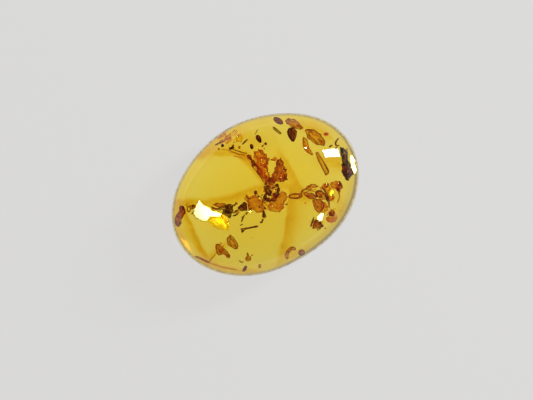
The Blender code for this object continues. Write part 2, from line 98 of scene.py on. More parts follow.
# The soft lamp, placed by its reflection on the dome: the middles of the reflection's four sides
HIGHLIGHT_LEFT = (7.15, 0.51)
HIGHLIGHT_RIGHT = (8.53, -0.13)
HIGHLIGHT_TOP = (7.96, 0.56)
HIGHLIGHT_BOTTOM = (7.72, -0.19)
SOFTBOX_DISTANCE = 0.4
SOFTBOX_RADIANCE = 50

STRAIGHT_DOWN = Vector((0, 0, -1))


def colour_of(red, green, blue):
    """Turns display values from 0 to 255 into linear ones."""
    return tuple((value / 255) ** 2.2 for value in (red, green, blue)) + (1.0,)


# The stone's form and how it bends light


def unevenness(angle):
    return 1 + WAVE_OF_THREE * math.sin(3 * angle) + WAVE_OF_FIVE * math.sin(5 * angle)


def oval_point(share, turn):
    x = HALF_LENGTH * math.cos(turn)
    y = HALF_WIDTH * math.sin(turn)
    scale = share * unevenness(math.atan2(y, x))
    return x * scale, y * scale


def width_centre():
    heights = [oval_point(1, 2 * math.pi * step / OVAL_STEPS)[1] for step in range(OVAL_STEPS)]
    return (max(heights) + min(heights)) / 2


CENTRE_Y = width_centre()


def share_out(x, y):
    return math.hypot(x / HALF_LENGTH, y / HALF_WIDTH) / unevenness(math.atan2(y, x))


def dome_rise(x, y):
    return DOME_HEIGHT * math.sqrt(max(0.0, 1 - share_out(x, y) ** 2))


def dome_normal(x, y):
    step = 0.01 * MM
    slope_x = (dome_rise(x + step, y) - dome_rise(x - step, y)) / (2 * step)
    slope_y = (dome_rise(x, y + step) - dome_rise(x, y - step)) / (2 * step)
    return Vector((-slope_x, -slope_y, 1)).normalized()


def bent_inward(ray, normal):
    """The direction inside the amber of a ray that falls on its surface."""
    bend = 1 / REFRACTIVE_INDEX
    cosine = -ray.dot(normal)
    inner = math.sqrt(1 - bend * bend * (1 - cosine * cosine))
    return ray * bend + normal * (bend * cosine - inner)


def seen_ray(x, y, level, eye=None):
    """The point at a level above the girdle that is seen at x, y, all in mm, and the ray to it.

    Without an eye, the view is from straight above.
    """
    seen_x, seen_y = x * MM, y * MM
    view = STRAIGHT_DOWN
    if eye:
        view = (Vector((seen_x, seen_y - CENTRE_Y, GIRDLE + dome_rise(seen_x, seen_y))) - eye).normalized()
    ray = bent_inward(view, dome_normal(seen_x, seen_y))
    run = (dome_rise(seen_x, seen_y) - level * MM) / -ray.z
    place = Vector((seen_x + ray.x * run, seen_y + ray.y * run - CENTRE_Y, GIRDLE + level * MM))
    return place, ray


def real_place(x, y, level):
    return seen_ray(x, y, level)[0]


def camera_place():
    right = Vector((math.cos(STONE_TURN), -math.sin(STONE_TURN), 0))
    up = Vector((-right.y, right.x, 0))
    offset = right * (IMAGE_WIDTH / 2 - STONE_X) - up * (IMAGE_HEIGHT / 2 - STONE_Y)
    return offset * MM / PIXELS_PER_MM + Vector((0, -CENTRE_Y, CAMERA_HEIGHT))


def reflected_at(seen):
    """The point of the dome seen at a place, and where the camera's view goes from it."""
    x, y = seen[0] * MM, seen[1] * MM
    spot = Vector((x, y - CENTRE_Y, GIRDLE + dome_rise(x, y)))
    view = (Vector((0, 0, CAMERA_HEIGHT)) - spot).normalized()
    normal = dome_normal(x, y)
    return spot, normal * (2 * normal.dot(view)) - view


# Meshes and materials


def new_object(name, build):
    mesh = bpy.data.meshes.new(name)
    bmesh.ops.recalc_face_normals(build, faces=build.faces)
    build.to_mesh(mesh)
    build.free()
    mesh.shade_smooth()
    item = bpy.data.objects.new(name, mesh)
    bpy.context.scene.collection.objects.link(item)
    return item


def place_piece(item, slot, *nodes):
    """Says what a piece of the stone rides on and which solids it stands for. The finish, slot, is not used."""
    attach(item, "root")
    if nodes:
        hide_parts(*nodes)
    return item


def new_material(name):
    material = bpy.data.materials.new(name)
    material.use_nodes = True
    return material, material.node_tree, material.node_tree.nodes["Principled BSDF"]


def add_node(tree, kind, inputs=None, **settings):
    node = tree.nodes.new(kind)
    for key, value in settings.items():
        setattr(node, key, value)
    for key, value in (inputs or {}).items():
        if isinstance(value, bpy.types.NodeSocket):
            tree.links.new(value, node.inputs[key])
        else:
            node.inputs[key].default_value = value
    return node


def attribute(tree, name):
    return add_node(tree, "ShaderNodeAttribute", attribute_name=name).outputs["Fac"]


def calc(tree, operation, first, second=0.0):
    return add_node(tree, "ShaderNodeMath", {0: first, 1: second}, operation=operation).outputs[0]


def smooth_step(tree, value, low, high):
    inputs = {"Value": value, "From Min": low, "From Max": high}
    node = add_node(tree, "ShaderNodeMapRange", inputs, interpolation_type="SMOOTHSTEP")
    return node.outputs["Result"]


def mix(tree, factor, first, second, blend="MIX"):
    inputs = {"Factor": factor, 6: first, 7: second}
    return add_node(tree, "ShaderNodeMix", inputs, data_type="RGBA", blend_type=blend).outputs[2]


def ramp(tree, factor, stops):
    node = add_node(tree, "ShaderNodeValToRGB", {"Fac": factor})
    elements = node.color_ramp.elements
    while len(elements) < len(stops):
        elements.new(0.5)
    for element, (position, colour) in zip(elements, stops):
        element.position = position
        element.color = colour
    return node.outputs["Color"]


def noise_value(tree, vector, scale, detail=3.0, distortion=0.0):
    inputs = {"Vector": vector, "Scale": scale, "Detail": detail, "Distortion": distortion}
    return add_node(tree, "ShaderNodeTexNoise", inputs).outputs["Fac"]


# The amber


def amber_mesh():
    build = bmesh.new()
    levels = []
    for number in range(BACK_RINGS + 1):
        angle = math.pi / 2 * (1 - number / BACK_RINGS)
        share = REST_SHARE + (1 - REST_SHARE) * math.cos(angle)
        levels.append((share, GIRDLE * (1 - math.sin(angle))))
    for number in range(1, DOME_RINGS):
        angle = math.pi / 2 * number / DOME_RINGS
        levels.append((math.cos(angle), GIRDLE + DOME_HEIGHT * math.sin(angle)))
    rings = []
    for share, height in levels:
        ring = []
        for step in range(OVAL_STEPS):
            x, y = oval_point(share, 2 * math.pi * step / OVAL_STEPS)
            ring.append(build.verts.new((x, y - CENTRE_Y, height)))
        rings.append(ring)
    for lower, upper in zip(rings, rings[1:]):
        for step in range(OVAL_STEPS):
            after = (step + 1) % OVAL_STEPS
            build.faces.new((lower[step], lower[after], upper[after], upper[step]))
    for ring, height in ((rings[0], 0.0), (rings[-1], GIRDLE + DOME_HEIGHT)):
        middle = build.verts.new((0, -CENTRE_Y, height))
        for step in range(OVAL_STEPS):
            build.faces.new((ring[step], ring[(step + 1) % OVAL_STEPS], middle))
    return build


def amber_material():
    """Clear resin: all its colour comes from what it absorbs."""
    material, tree, shader = new_material("clear_amber")
    shader.inputs["Base Color"].default_value = (1, 1, 1, 1)
    shader.inputs["Roughness"].default_value = 0.0
    shader.inputs["IOR"].default_value = REFRACTIVE_INDEX
    shader.inputs["Transmission Weight"].default_value = 1.0
    absorb = tree.nodes.new("ShaderNodeVolumeAbsorption")
    absorb.inputs["Color"].default_value = (0.995, 0.886, 0.0, 1)
    absorb.inputs["Density"].default_value = 420
    tree.links.new(absorb.outputs["Volume"], tree.nodes["Material Output"].inputs["Volume"])
    return material


def make_amber():
    amber = new_object("amber", amber_mesh())
    amber.data.materials.append(amber_material())
    place_piece(amber, "amber", "amber_dome", "amber_back")


# Looks of the debris. A look's colours are display values, as they are outside the amber.

LOOKS = {
    "maroon_seed": dict(rim=(60, 12, 4), dark=(84, 18, 6), middle=(124, 34, 10), light=(196, 96, 44)),
    # Pale inside a darker rim: the pale middle is a painted highlight, the rest the bead's own colour.
    "pale_seed": dict(rim=(130, 60, 14), dark=(180, 96, 40), middle=(230, 160, 90), light=(255, 214, 150),
                      clear=0.6),
    "red_seed": dict(rim=(100, 30, 0), dark=(144, 52, 2), middle=(190, 88, 10), light=(246, 156, 36),
                     clear=0.2, mosaic=0.3),
    "drab_seed": dict(rim=(104, 50, 6), dark=(136, 76, 14), middle=(174, 106, 28), light=(206, 136, 40)),
    "amber_scale": dict(rim=(204, 130, 16), dark=(238, 166, 24), middle=(255, 206, 46),
                        light=(255, 236, 120), clear=0.95, mosaic=0.6, outline=0.6),
    "orange_scale": dict(rim=(170, 84, 6), dark=(228, 132, 12), middle=(253, 184, 26),
                         light=(255, 226, 80), clear=0.85, veins=0.5),
    "veined_scale": dict(rim=(130, 58, 2), dark=(222, 132, 12), middle=(255, 198, 44),
                         light=(255, 240, 130), clear=0.92, veins=0.9, rings=0.9),
    "red_crust": dict(rim=(164, 72, 4), dark=(222, 118, 8), middle=(252, 172, 20), light=(255, 220, 74),
                      clear=0.9, mosaic=0.7, sparks=0.9, outline=0.6),
    "brown_crust": dict(rim=(136, 58, 4), dark=(176, 82, 6), middle=(222, 126, 12), light=(255, 190, 40),
                        clear=0.8, mosaic=0.5, sparks=0.5, outline=0.7),
    "gold_scale": dict(rim=(176, 90, 8), dark=(222, 128, 8), middle=(250, 182, 16),
                       light=(255, 224, 70), clear=0.9, mosaic=0.4, web=0.4, outline=0.6),
    # Bright, almost clear gold: partly the flakes' own colour, partly painted glints.
    "bright_gold": dict(rim=(236, 180, 24), dark=(250, 204, 36), middle=(255, 232, 80),
                        light=(255, 246, 140), clear=0.97, outline=0.4),
    "clear_reed": dict(rim=(140, 70, 8), dark=(232, 176, 44), middle=(248, 216, 84),
                       light=(255, 238, 140), clear=0.92, veins=0.3, sides=0.95),
    "brown_scale": dict(rim=(136, 56, 6), dark=(178, 84, 10), middle=(222, 126, 22),
                        light=(255, 210, 110), clear=0.85, web=0.9, rings=0.4, pitch=0.3),
    "ring_scale": dict(rim=(136, 68, 10), dark=(206, 134, 36), middle=(242, 188, 80),
                       light=(255, 234, 150), clear=0.92, rings=0.8, veins=0.4),
    "red_bark": dict(rim=(112, 40, 6), dark=(156, 60, 8), middle=(208, 98, 16), light=(255, 168, 50),
                     clear=0.65, veins=0.6),
    "black_bark": dict(rim=(58, 36, 4), dark=(76, 50, 8), middle=(116, 80, 16), light=(206, 150, 40),
                       mosaic=0.4, sparks=0.4),
    "olive_fibre": dict(rim=(110, 78, 12), dark=(156, 124, 26), middle=(206, 178, 52),
                        light=(244, 224, 96), clear=0.88, veins=0.5, mosaic=0.4),
    "dark_clot": dict(rim=(96, 44, 6), dark=(130, 68, 12), middle=(196, 118, 30), light=(255, 206, 84),
                      clear=0.7, mosaic=0.7, sparks=0.5, pitch=0.3),
}

VEIN_PITCH = 0.42
MOSAIC_PITCH = 0.4
RING_PITCH = 0.36
GRAIN = 0.28
PAINTED_GLINT_PITCH = 0.24


def line_near(tree, value, middle, half_width):
    """1 where a value is at the middle, falling to 0 at half a width from it."""
    off = calc(tree, "ABSOLUTE", calc(tree, "SUBTRACT", value, middle))
    return calc(tree, "SUBTRACT", 1.0, smooth_step(tree, off, 0.0, half_width))


def look_material(name, rim, dark, middle, light, clear=0.0, veins=0.0, mosaic=0.0, web=0.0, rings=0.0,
                  sparks=0.0, sides=0.0, end=None, low_end=False, outline=0.85, pitch=MOSAIC_PITCH):
    """Mottled along the piece, with a darker rim that is partly painted shade, darker lines, and another colour at
    its end.

    Veins run along the piece, a mosaic is a net of dark lines and a web one of light lines, rings
    follow the rim inside it, sides are two lines beside the middle, and painted glints are small
    bright spots of painted highlight.
    """
    material, tree, shader = new_material(name)
    along = attribute(tree, "along")
    across = attribute(tree, "across")
    height = attribute(tree, "height")
    inset = attribute(tree, "inset")
    inputs = {"X": calc(tree, "MULTIPLY", along, 0.6), "Y": across, "Z": calc(tree, "MULTIPLY", height, 0.2)}
    place = add_node(tree, "ShaderNodeCombineXYZ", inputs).outputs[0]
    grain = noise_value(tree, place, 1 / GRAIN, 3.0, 0.8)
    patches = noise_value(tree, place, 1.7, 2.0, 0.5)
    tone = calc(tree, "ADD", calc(tree, "MULTIPLY", grain, 0.65), calc(tree, "MULTIPLY", patches, 0.35))
    colour = ramp(tree, tone, [(0.42, colour_of(*dark)), (0.5, colour_of(*middle)), (0.58, colour_of(*light))])
    if end:
        reach = smooth_step(tree, attribute(tree, "end"), 0.5, 0.62)
        if low_end:
            reach = calc(tree, "SUBTRACT", 1.0, smooth_step(tree, attribute(tree, "end"), 0.36, 0.48))
        other = ramp(tree, tone, [(0.42, colour_of(*(part * 0.6 for part in end))), (0.56, colour_of(*end))])
        colour = mix(tree, reach, colour, other)
    inputs = {"Vector": place, "Scale": 1 / pitch, "Randomness": 1.0}
    cells = add_node(tree, "ShaderNodeTexVoronoi", inputs, feature="DISTANCE_TO_EDGE").outputs["Distance"]
    if web:
        lines = calc(tree, "MULTIPLY", line_near(tree, cells, 0.0, 0.22), web)
        colour = mix(tree, lines, colour, colour_of(*light))
    darker = []
    if veins:
        bend = calc(tree, "MULTIPLY", noise_value(tree, place, 1.6), 1.6)
        line = calc(tree, "ADD", calc(tree, "DIVIDE", across, VEIN_PITCH), bend)
        wave = calc(tree, "ABSOLUTE", calc(tree, "SINE", calc(tree, "MULTIPLY", line, math.pi)))
        breaks = smooth_step(tree, noise_value(tree, place, 2.6), 0.34, 0.46)
        vein = calc(tree, "MULTIPLY", line_near(tree, wave, 0.0, 0.75), breaks)
        darker.append(calc(tree, "MULTIPLY", vein, veins))
    if mosaic:
        broken = calc(tree, "MULTIPLY", line_near(tree, cells, 0.0, 0.2), smooth_step(tree, patches, 0.38, 0.5))
        darker.append(calc(tree, "MULTIPLY", broken, mosaic))
    if rings:
        wander = calc(tree, "ADD", calc(tree, "DIVIDE", inset, RING_PITCH), calc(tree, "MULTIPLY", patches, 0.8))
        wave = calc(tree, "ABSOLUTE", calc(tree, "SINE", calc(tree, "MULTIPLY", wander, math.pi)))
        ring = calc(tree, "MULTIPLY", line_near(tree, wave, 0.0, 0.6), smooth_step(tree, inset, 0.12, 0.24))
        darker.append(calc(tree, "MULTIPLY", ring, rings))
    if sides:
        lines = line_near(tree, calc(tree, "ABSOLUTE", across), 0.2, 0.12)
        darker.append(calc(tree, "MULTIPLY", lines, sides))
    # The darker rim, as strong as outline: partly the piece's own darker edge, partly painted shade of the edge
    # seen side-on.
    rim_tone_and_shade = calc(tree, "SUBTRACT", 1.0, smooth_step(tree, inset, 0.0, 0.15))
    darker.append(calc(tree, "MULTIPLY", rim_tone_and_shade, outline))
    for amount in darker:
        colour = mix(tree, amount, colour, colour_of(*rim))
    # Painted glints: small bright yellow spots mixed into the base colour as painted highlights.
    if sparks:
        spots = smooth_step(tree, noise_value(tree, place, 1 / PAINTED_GLINT_PITCH, 1.0), 0.6, 0.66)
        colour = mix(tree, calc(tree, "MULTIPLY", spots, sparks), colour, (1.0, 0.82, 0.3, 1.0))
    tree.links.new(colour, shader.inputs["Base Color"])
    shader.inputs["Roughness"].default_value = 0.5
    shader.inputs["IOR"].default_value = 1.0 if clear else 1.2
    shader.inputs["Transmission Weight"].default_value = clear
    return material


def look_of(name, **changes):
    """A look's material, made once for each change to it."""
    title = "_".join([name] + [key for key in changes])
    if changes.get("end"):
        title += "_%d_%d_%d" % changes["end"]
    material = bpy.data.materials.get(title)
    return material or look_material(title, **{**LOOKS[name], **changes})


FINEST_EDGE = 0.12 * MM
SOFTENING_ROUNDS = 2


def refine(build, finest=FINEST_EDGE, rounds=5):
    for _ in range(rounds):
        long_edges = [edge for edge in build.edges if edge.calc_length() > finest]
        if not long_edges:
            return
        bmesh.ops.subdivide_edges(build, edges=long_edges, cuts=1)
        bmesh.ops.triangulate(build, faces=build.faces)


def extent(build):
    return [[pick(corner.co[axis] for corner in build.verts) for axis in range(3)] for pick in (min, max)]


def soften(build):
    """Rounds a form's edges and keeps its size."""
    low, high = extent(build)
    for _ in range(SOFTENING_ROUNDS):
        bmesh.ops.smooth_vert(build, verts=build.verts, factor=0.5, use_axis_x=True,
                              use_axis_y=True, use_axis_z=True)
    new_low, new_high = extent(build)
    for corner in build.verts:
        for axis in range(3):
            share = (corner.co[axis] - new_low[axis]) / (new_high[axis] - new_low[axis])
            corner.co[axis] = low[axis] + share * (high[axis] - low[axis])


def crinkle(build, amount, ripple, ragged=0.0):
    """Uneven folds, in mm: each point moves along its normal, and further on a ragged rim."""
    build.normal_update()
    moves = []
    for corner in build.verts:
        place = corner.co / MM
        rough = noise.noise(place / ripple) + 0.5 * noise.noise(place / ripple * 2.3)
        frayed = noise.noise(place * 3.1) + 0.7 * noise.noise(place * 7.3)
        sideways = math.hypot(corner.normal.x, corner.normal.y)
        moves.append(corner.normal * (rough * amount + frayed * ragged * sideways) * MM)
    for corner, move in zip(build.verts, moves):
        corner.co += move


def main_axis(points):
    """The direction in plan that a piece is longest in, and its middle."""
    count = len(points)
    middle = sum(points, Vector((0, 0, 0))) / count
    spread_x = sum((point.x - middle.x) ** 2 for point in points)
    spread_y = sum((point.y - middle.y) ** 2 for point in points)
    shared = sum((point.x - middle.x) * (point.y - middle.y) for point in points)
    turn = 0.5 * math.atan2(2 * shared, spread_x - spread_y)
    return middle, Vector((math.cos(turn), math.sin(turn), 0))


def note_directions(mesh):
    """Keeps how far along, across and up each point is, and how far inside the rim, in mm."""
    points = [corner.co.copy() for corner in mesh.vertices]
    middle, axis = main_axis(points)
    side = Vector((-axis.y, axis.x, 0))
    along = [(point - middle).dot(axis) / MM for point in points]
    across = [(point - middle).dot(side) / MM for point in points]
    tree = BVHTree.FromPolygons(points, [tuple(face.vertices) for face in mesh.polygons])
    above = Vector((0, 0, 1))
    depths = []
    for point in points:
        top = tree.ray_cast(Vector((point.x, point.y, GIRDLE + DOME_HEIGHT)), -above)[0]
        foot = tree.ray_cast(Vector((point.x, point.y, 0)), above)[0]
        depths.append(top.z - foot.z if top and foot else 0.0)
    thickest = sorted(depths)[int(len(depths) * 0.9)] or 1.0
    rim = [point for point, depth in zip(points, depths) if depth < 0.3 * thickest]
    near = KDTree(len(rim))
    for number, point in enumerate(rim):
        near.insert((point.x, point.y, 0), number)
    near.balance()
    insets = [near.find((point.x, point.y, 0))[2] / MM if rim else 0.0 for point in points]
    low, high = min(along), max(along)
    values = {
        "along": along,
        "across": across,
        "height": [point.z / MM for point in points],
        "inset": insets,
        "end": [(value - low) / (high - low) for value in along],
    }
    for name, numbers in values.items():
        layer = mesh.attributes.new(name, "FLOAT", "POINT")
        layer.data.foreach_set("value", numbers)


SLOT_OF = {entry["node"]: entry["material_slot"] for entry in frame["record"]["subparts"]}


def dress(names, look, amount=0.03, ripple=0.3, ragged=0.0, **changes):
    """Stands in for solids with finer, uneven forms of the same size, in a look."""
    for name in names.split():
        build = bmesh.new()
        build.from_mesh(frame["nodes"][name].data)
        bmesh.ops.remove_doubles(build, verts=build.verts, dist=0.001 * MM)
        refine(build)
        soften(build)
        crinkle(build, amount, ripple, ragged)
        piece = new_object(name + "_fine", build)
        note_directions(piece.data)
        piece.data.materials.append(look_of(look, **changes))
        place_piece(piece, SLOT_OF[name], name)


def dress_debris():
    dress("seed_top", "red_seed", 0.01)
    dress("drop_big drop_mid drop_left seed_left", "maroon_seed", 0.01)
    dress("splinter_bottom", "red_seed", 0.01)
    # The bottom bead's pale middle is a painted highlight.
    dress("bead_bottom", "pale_seed", 0.01)
    dress("seed_dark", "drab_seed", 0.02)
    dress("chip_red", "red_crust", 0.015, mosaic=0.0, sparks=0.0, middle=(230, 84, 8), light=(250, 130, 20))
    dress("curl_right", "red_bark", 0.015)
    dress("flake_wing", "veined_scale", 0.03, ragged=0.06)
    dress("flake_top", "veined_scale", 0.03, ragged=0.06, middle=(250, 176, 26))
    dress("flake_bottom", "ring_scale", 0.03, ragged=0.05, veins=0.9)
    dress("flake_tear", "orange_scale", 0.03)
    dress("chip_edge chip_left", "amber_scale", 0.03, ragged=0.08)
    dress("crust_upper", "red_crust", 0.07, 0.28, ragged=0.2)
    dress("lobe_right", "brown_crust", 0.06, 0.35, ragged=0.14)
    dress("chip_right_top", "red_crust", 0.05, 0.3, ragged=0.08, mosaic=0.4, end=(150, 56, 12))
    dress("wing_left wing_right", "gold_scale", 0.05, 0.4, ragged=0.2)
    dress("chip_right_low", "amber_scale", 0.05, ragged=0.1, dark=(246, 186, 40), middle=(255, 222, 80),
          rim=(226, 160, 40))
    dress("reed_blade", "clear_reed", 0.02)
    dress("strand_right", "clear_reed", 0.02, sides=0.0)
    dress("bark_stick", "black_bark", 0.05, 0.3, ragged=0.1, end=(190, 80, 26), low_end=True)
    dress("splinter_green", "olive_fibre", 0.02)
    dress("knot_left", "olive_fibre", 0.02, clear=0.9, mosaic=0.9)
    dress("knot_centre", "dark_clot", 0.04, 0.2, ragged=0.08)
    dress("clot_left", "olive_fibre", 0.04, 0.2, ragged=0.08, mosaic=0.95, rim=(84, 48, 8))
    dress("bead_centre tangle_right", "dark_clot", 0.02, 0.2, ragged=0.04)
    dress("needle_upper needle_edge thorn hook_thorn leg_a leg_b", "dark_clot", 0.01)
    dress("twig_lower strip_right_bottom", "dark_clot", 0.02, 0.2)
    dress("bead_chain bud curl_left", "red_bark", 0.02)
    dress("chip_triangle", "dark_clot", 0.03, ragged=0.06, clear=0.5, dark=(140, 72, 20))
    dress("flake_left_edge", "red_bark", 0.04, ragged=0.05, middle=(232, 130, 24), end=(255, 180, 40),
          low_end=True)
    dress("loop_left", "brown_scale", 0.015)
    dress("flake_bottom_left", "ring_scale", 0.03, ragged=0.08, middle=(238, 166, 46), dark=(176, 92, 20))
    dress("leaf_right_upper leaf_mid", "brown_scale", 0.03, ragged=0.05)
    dress("chip_right_big", "brown_scale", 0.03, ragged=0.06)
    dress("seed_ring drop_bottom", "ring_scale", 0.02)
    dress("splinter_edge", "brown_scale", 0.02, web=0.0)
    dress("flake_bottom_right", "ring_scale", 0.02, ragged=0.05)
    dress("fork_ring", "brown_scale", 0.02)
    dress("bead_right bead_right_low", "brown_scale", 0.015, outline=0.5, middle=(238, 158, 40))
    dress("chip_right_bottom", "brown_scale", 0.05, 0.2, ragged=0.08, mosaic=0.8, sparks=0.8)


# Cracks in the resin, which throw the soft lamp's light at the camera


def leaves_dome_at(place, way):
    """The dome's normal where a ray from inside the stone meets it."""
    sizes = (HALF_LENGTH, HALF_WIDTH, DOME_HEIGHT)
    start = (place.x, place.y + CENTRE_Y, place.z - GIRDLE)
    squared = sum((w / size) ** 2 for w, size in zip(way, sizes))
    crossed = sum(w * p / size ** 2 for w, p, size in zip(way, start, sizes))
    rest = sum((p / size) ** 2 for p, size in zip(start, sizes)) - 1
    run = (-crossed + math.sqrt(crossed ** 2 - squared * rest)) / squared
    meets = [p + w * run for p, w in zip(start, way)]
    return Vector([m / size ** 2 for m, size in zip(meets, sizes)]).normalized()


def mirror_normal(place, ray, lamp_place):
    """The normal of a mirror inside the stone that throws the lamp's light up the camera's ray."""
    toward = (lamp_place - place).normalized()
    way = toward.copy()
    for _ in range(12):
        normal = leaves_dome_at(place, way)
        way = -bent_inward(-toward, normal)
    return (way - ray).normalized()


def flat_plan(outline, finest):
    """An outline filled with small triangles, none of whose inner edges joins two rim points."""
    plan = bmesh.new()
    plan.faces.new([plan.verts.new((x, y, 0)) for x, y in outline])
    bmesh.ops.triangulate(plan, faces=plan.faces)
    refine(plan, finest, 5)
    chords = [edge for edge in plan.edges
              if not edge.is_boundary and all(corner.is_boundary for corner in edge.verts)]
    bmesh.ops.subdivide_edges(plan, edges=chords, cuts=1)
    bmesh.ops.triangulate(plan, faces=plan.faces)
    return plan


def closed_sheet(build, plan, upper, lower, insets=None):
    """Two sheets over a flat plan that meet along its rim."""
    layer = build.verts.layers.float.get("inset") if insets else None
    sheets = []
    for places in (upper, lower):
        made = {}
        for corner in plan.verts:
            shared = sheets and corner.is_boundary
            made[corner] = sheets[0][corner] if shared else build.verts.new(places[corner])
            if layer:
                made[corner][layer] = insets[corner]
        sheets.append(made)
    for face in plan.faces:
        build.faces.new([sheets[0][corner] for corner in face.verts])
        build.faces.new([sheets[1][corner] for corner in reversed(face.verts)])


CRACK_DEPTH = Vector((0, 0, 0.02 * MM))


def crack(name, outline, level, material, lamp_place):
    """A thin mirror-bright sheet, curved so that all of it catches the lamp."""
    plan = flat_plan(outline, 0.16)
    count = len(outline)
    centre_x = sum(x for x, _ in outline) / count
    centre_y = sum(y for _, y in outline) / count
    steps = 16
    eye = camera_place()
    upper, lower, insets = {}, {}, {}
    for corner in plan.verts:
        height = level
        place, ray = seen_ray(centre_x, centre_y, height, eye)
        for step in range(1, steps + 1):
            normal = mirror_normal(place, ray, lamp_place)
            part = step / steps
            x = centre_x + (corner.co.x - centre_x) * part
            y = centre_y + (corner.co.y - centre_y) * part
            move = seen_ray(x, y, height, eye)[0] - place
            height -= normal.dot(move) * ray.z / normal.dot(ray) / MM
            place, ray = seen_ray(x, y, height, eye)
        insets[corner] = distance_to_path(corner.co.x, corner.co.y, outline + outline[:1])
        upper[corner] = place
        lower[corner] = place - CRACK_DEPTH
    build = bmesh.new()
    build.verts.layers.float.new("inset")
    closed_sheet(build, plan, upper, lower, insets)
    plan.free()
    item = new_object(name, build)
    item.data.materials.append(material)
    return place_piece(item, "amber")


def thicken(build, depth):
    """Makes an open sheet into a thin closed one."""
    build.normal_update()
    bmesh.ops.recalc_face_normals(build, faces=build.faces)
    bmesh.ops.solidify(build, geom=list(build.faces), thickness=depth)


STREAK_TURN = math.radians(20)
FULL_INSET = 0.6


def crack_material(name, colour, roughness, fade, mottle):
    """Mirror-bright inside its outline and clear toward it, streaked across the stone."""
    material, tree, shader = new_material(name)
    place = add_node(tree, "ShaderNodeTexCoord").outputs["Object"]
    inputs = {"Location": (0, 0, 0), "Rotation": (0, 0, -STREAK_TURN), "Scale": (1 / MM, 0.35 / MM, 1 / MM)}
    along = add_node(tree, "ShaderNodeMapping", {"Vector": place, **inputs}).outputs[0]
    patches = calc(tree, "SUBTRACT", noise_value(tree, along, 3.6, 4.0, 1.0), 0.52)
    inset = calc(tree, "MINIMUM", attribute(tree, "inset"), FULL_INSET)
    depth = calc(tree, "ADD", inset, calc(tree, "MULTIPLY", patches, mottle))
    shader.inputs["Base Color"].default_value = colour
    tree.links.new(smooth_step(tree, depth, 0.0, fade), shader.inputs["Metallic"])
    shader.inputs["Roughness"].default_value = roughness
    shader.inputs["IOR"].default_value = 1.0
    shader.inputs["Transmission Weight"].default_value = 1.0
    return material


STAR = [(-5.89, 2.95), (-5.92, 2.5), (-5.81, 2.09), (-5.39, 1.61), (-5.37, 1.24), (-4.89, 0.85),
        (-4.69, 0.5), (-4.94, 0.18), (-5.48, 0.44), (-5.9, 0.73), (-6.36, 0.54), (-6.82, 0.75),
        (-7.22, 1.27), (-7.28, 1.8), (-7.02, 2.34), (-6.64, 2.45)]
# The glow below the star, the bright line at its side, and two more cracks
GLOW = [(-6.28, 1.07), (-5.64, 1.17), (-5.07, 0.95), (-4.73, 0.52), (-4.54, -0.05), (-4.58, -0.62),
        (-4.83, -1.05), (-5.18, -1.26), (-5.53, -0.94), (-5.91, -0.60), (-6.22, -0.13), (-6.32, 0.40)]
GLOW_ARC = [(-4.84, 0.64), (-4.55, 0.24), (-4.46, -0.27), (-4.57, -0.8), (-4.96, -1.33), (-5.14, -1.34),
            (-4.75, -0.75), (-4.67, -0.28), (-4.74, 0.15)]
LEAF_GLINT = [(4.04, -4.46), (4.16, -4.71), (3.93, -4.98), (3.59, -5.2), (3.24, -5.11), (3.19, -4.73),
              (3.42, -4.45), (3.75, -4.44)]
EDGE_STREAK = [(9.5, -0.7), (9.57, -0.97), (9.59, -1.45), (9.52, -1.99), (9.35, -2.48), (9.08, -2.79),
               (8.75, -2.86), (8.72, -2.52), (8.78, -2.09), (8.93, -1.59), (9.19, -1.04)]
YELLOW_FILM = [(5.58, -2.91), (5.97, -2.76), (6.24, -3.01), (6.1, -3.33), (5.72, -3.58), (5.39, -3.55),
               (5.38, -3.21)]

# Small glints just below the dome: place seen, width and height in the picture
SMALL_GLINTS = [(5.83, 1.93, 0.42, 0.34), (1.38, 1.76, 0.26, 0.24), (1.01, -0.20, 0.30, 0.24),
                (-2.19, -0.78, 0.44, 0.40), (5.65, -5.23, 0.46, 0.16), (4.27, -4.90, 0.32, 0.22),
                (2.73, -5.76, 0.26, 0.24), (5.81, -2.30, 0.18, 0.32), (6.89, -2.85, 0.18, 0.36),
                (0.50, 0.71, 0.22, 0.20), (-0.48, -0.99, 0.26, 0.22), (-0.63, 0.43, 0.20, 0.24),
                (0.53, 6.99, 0.44, 0.30), (6.14, 5.61, 0.44, 0.16), (1.39, 3.10, 0.18, 0.26),
                (1.38, 2.71, 0.18, 0.22), (1.23, 1.42, 0.20, 0.20), (2.75, 1.14, 0.18, 0.26),
                (0.85, 3.70, 0.14, 0.20), (0.54, 6.38, 0.30, 0.20), (2.19, 0.58, 0.20, 0.20),
                (0.04, -1.39, 0.22, 0.18), (-0.50, -0.13, 0.18, 0.22), (5.88, -3.03, 0.20, 0.20)]
GLINT_DEPTH = 0.35


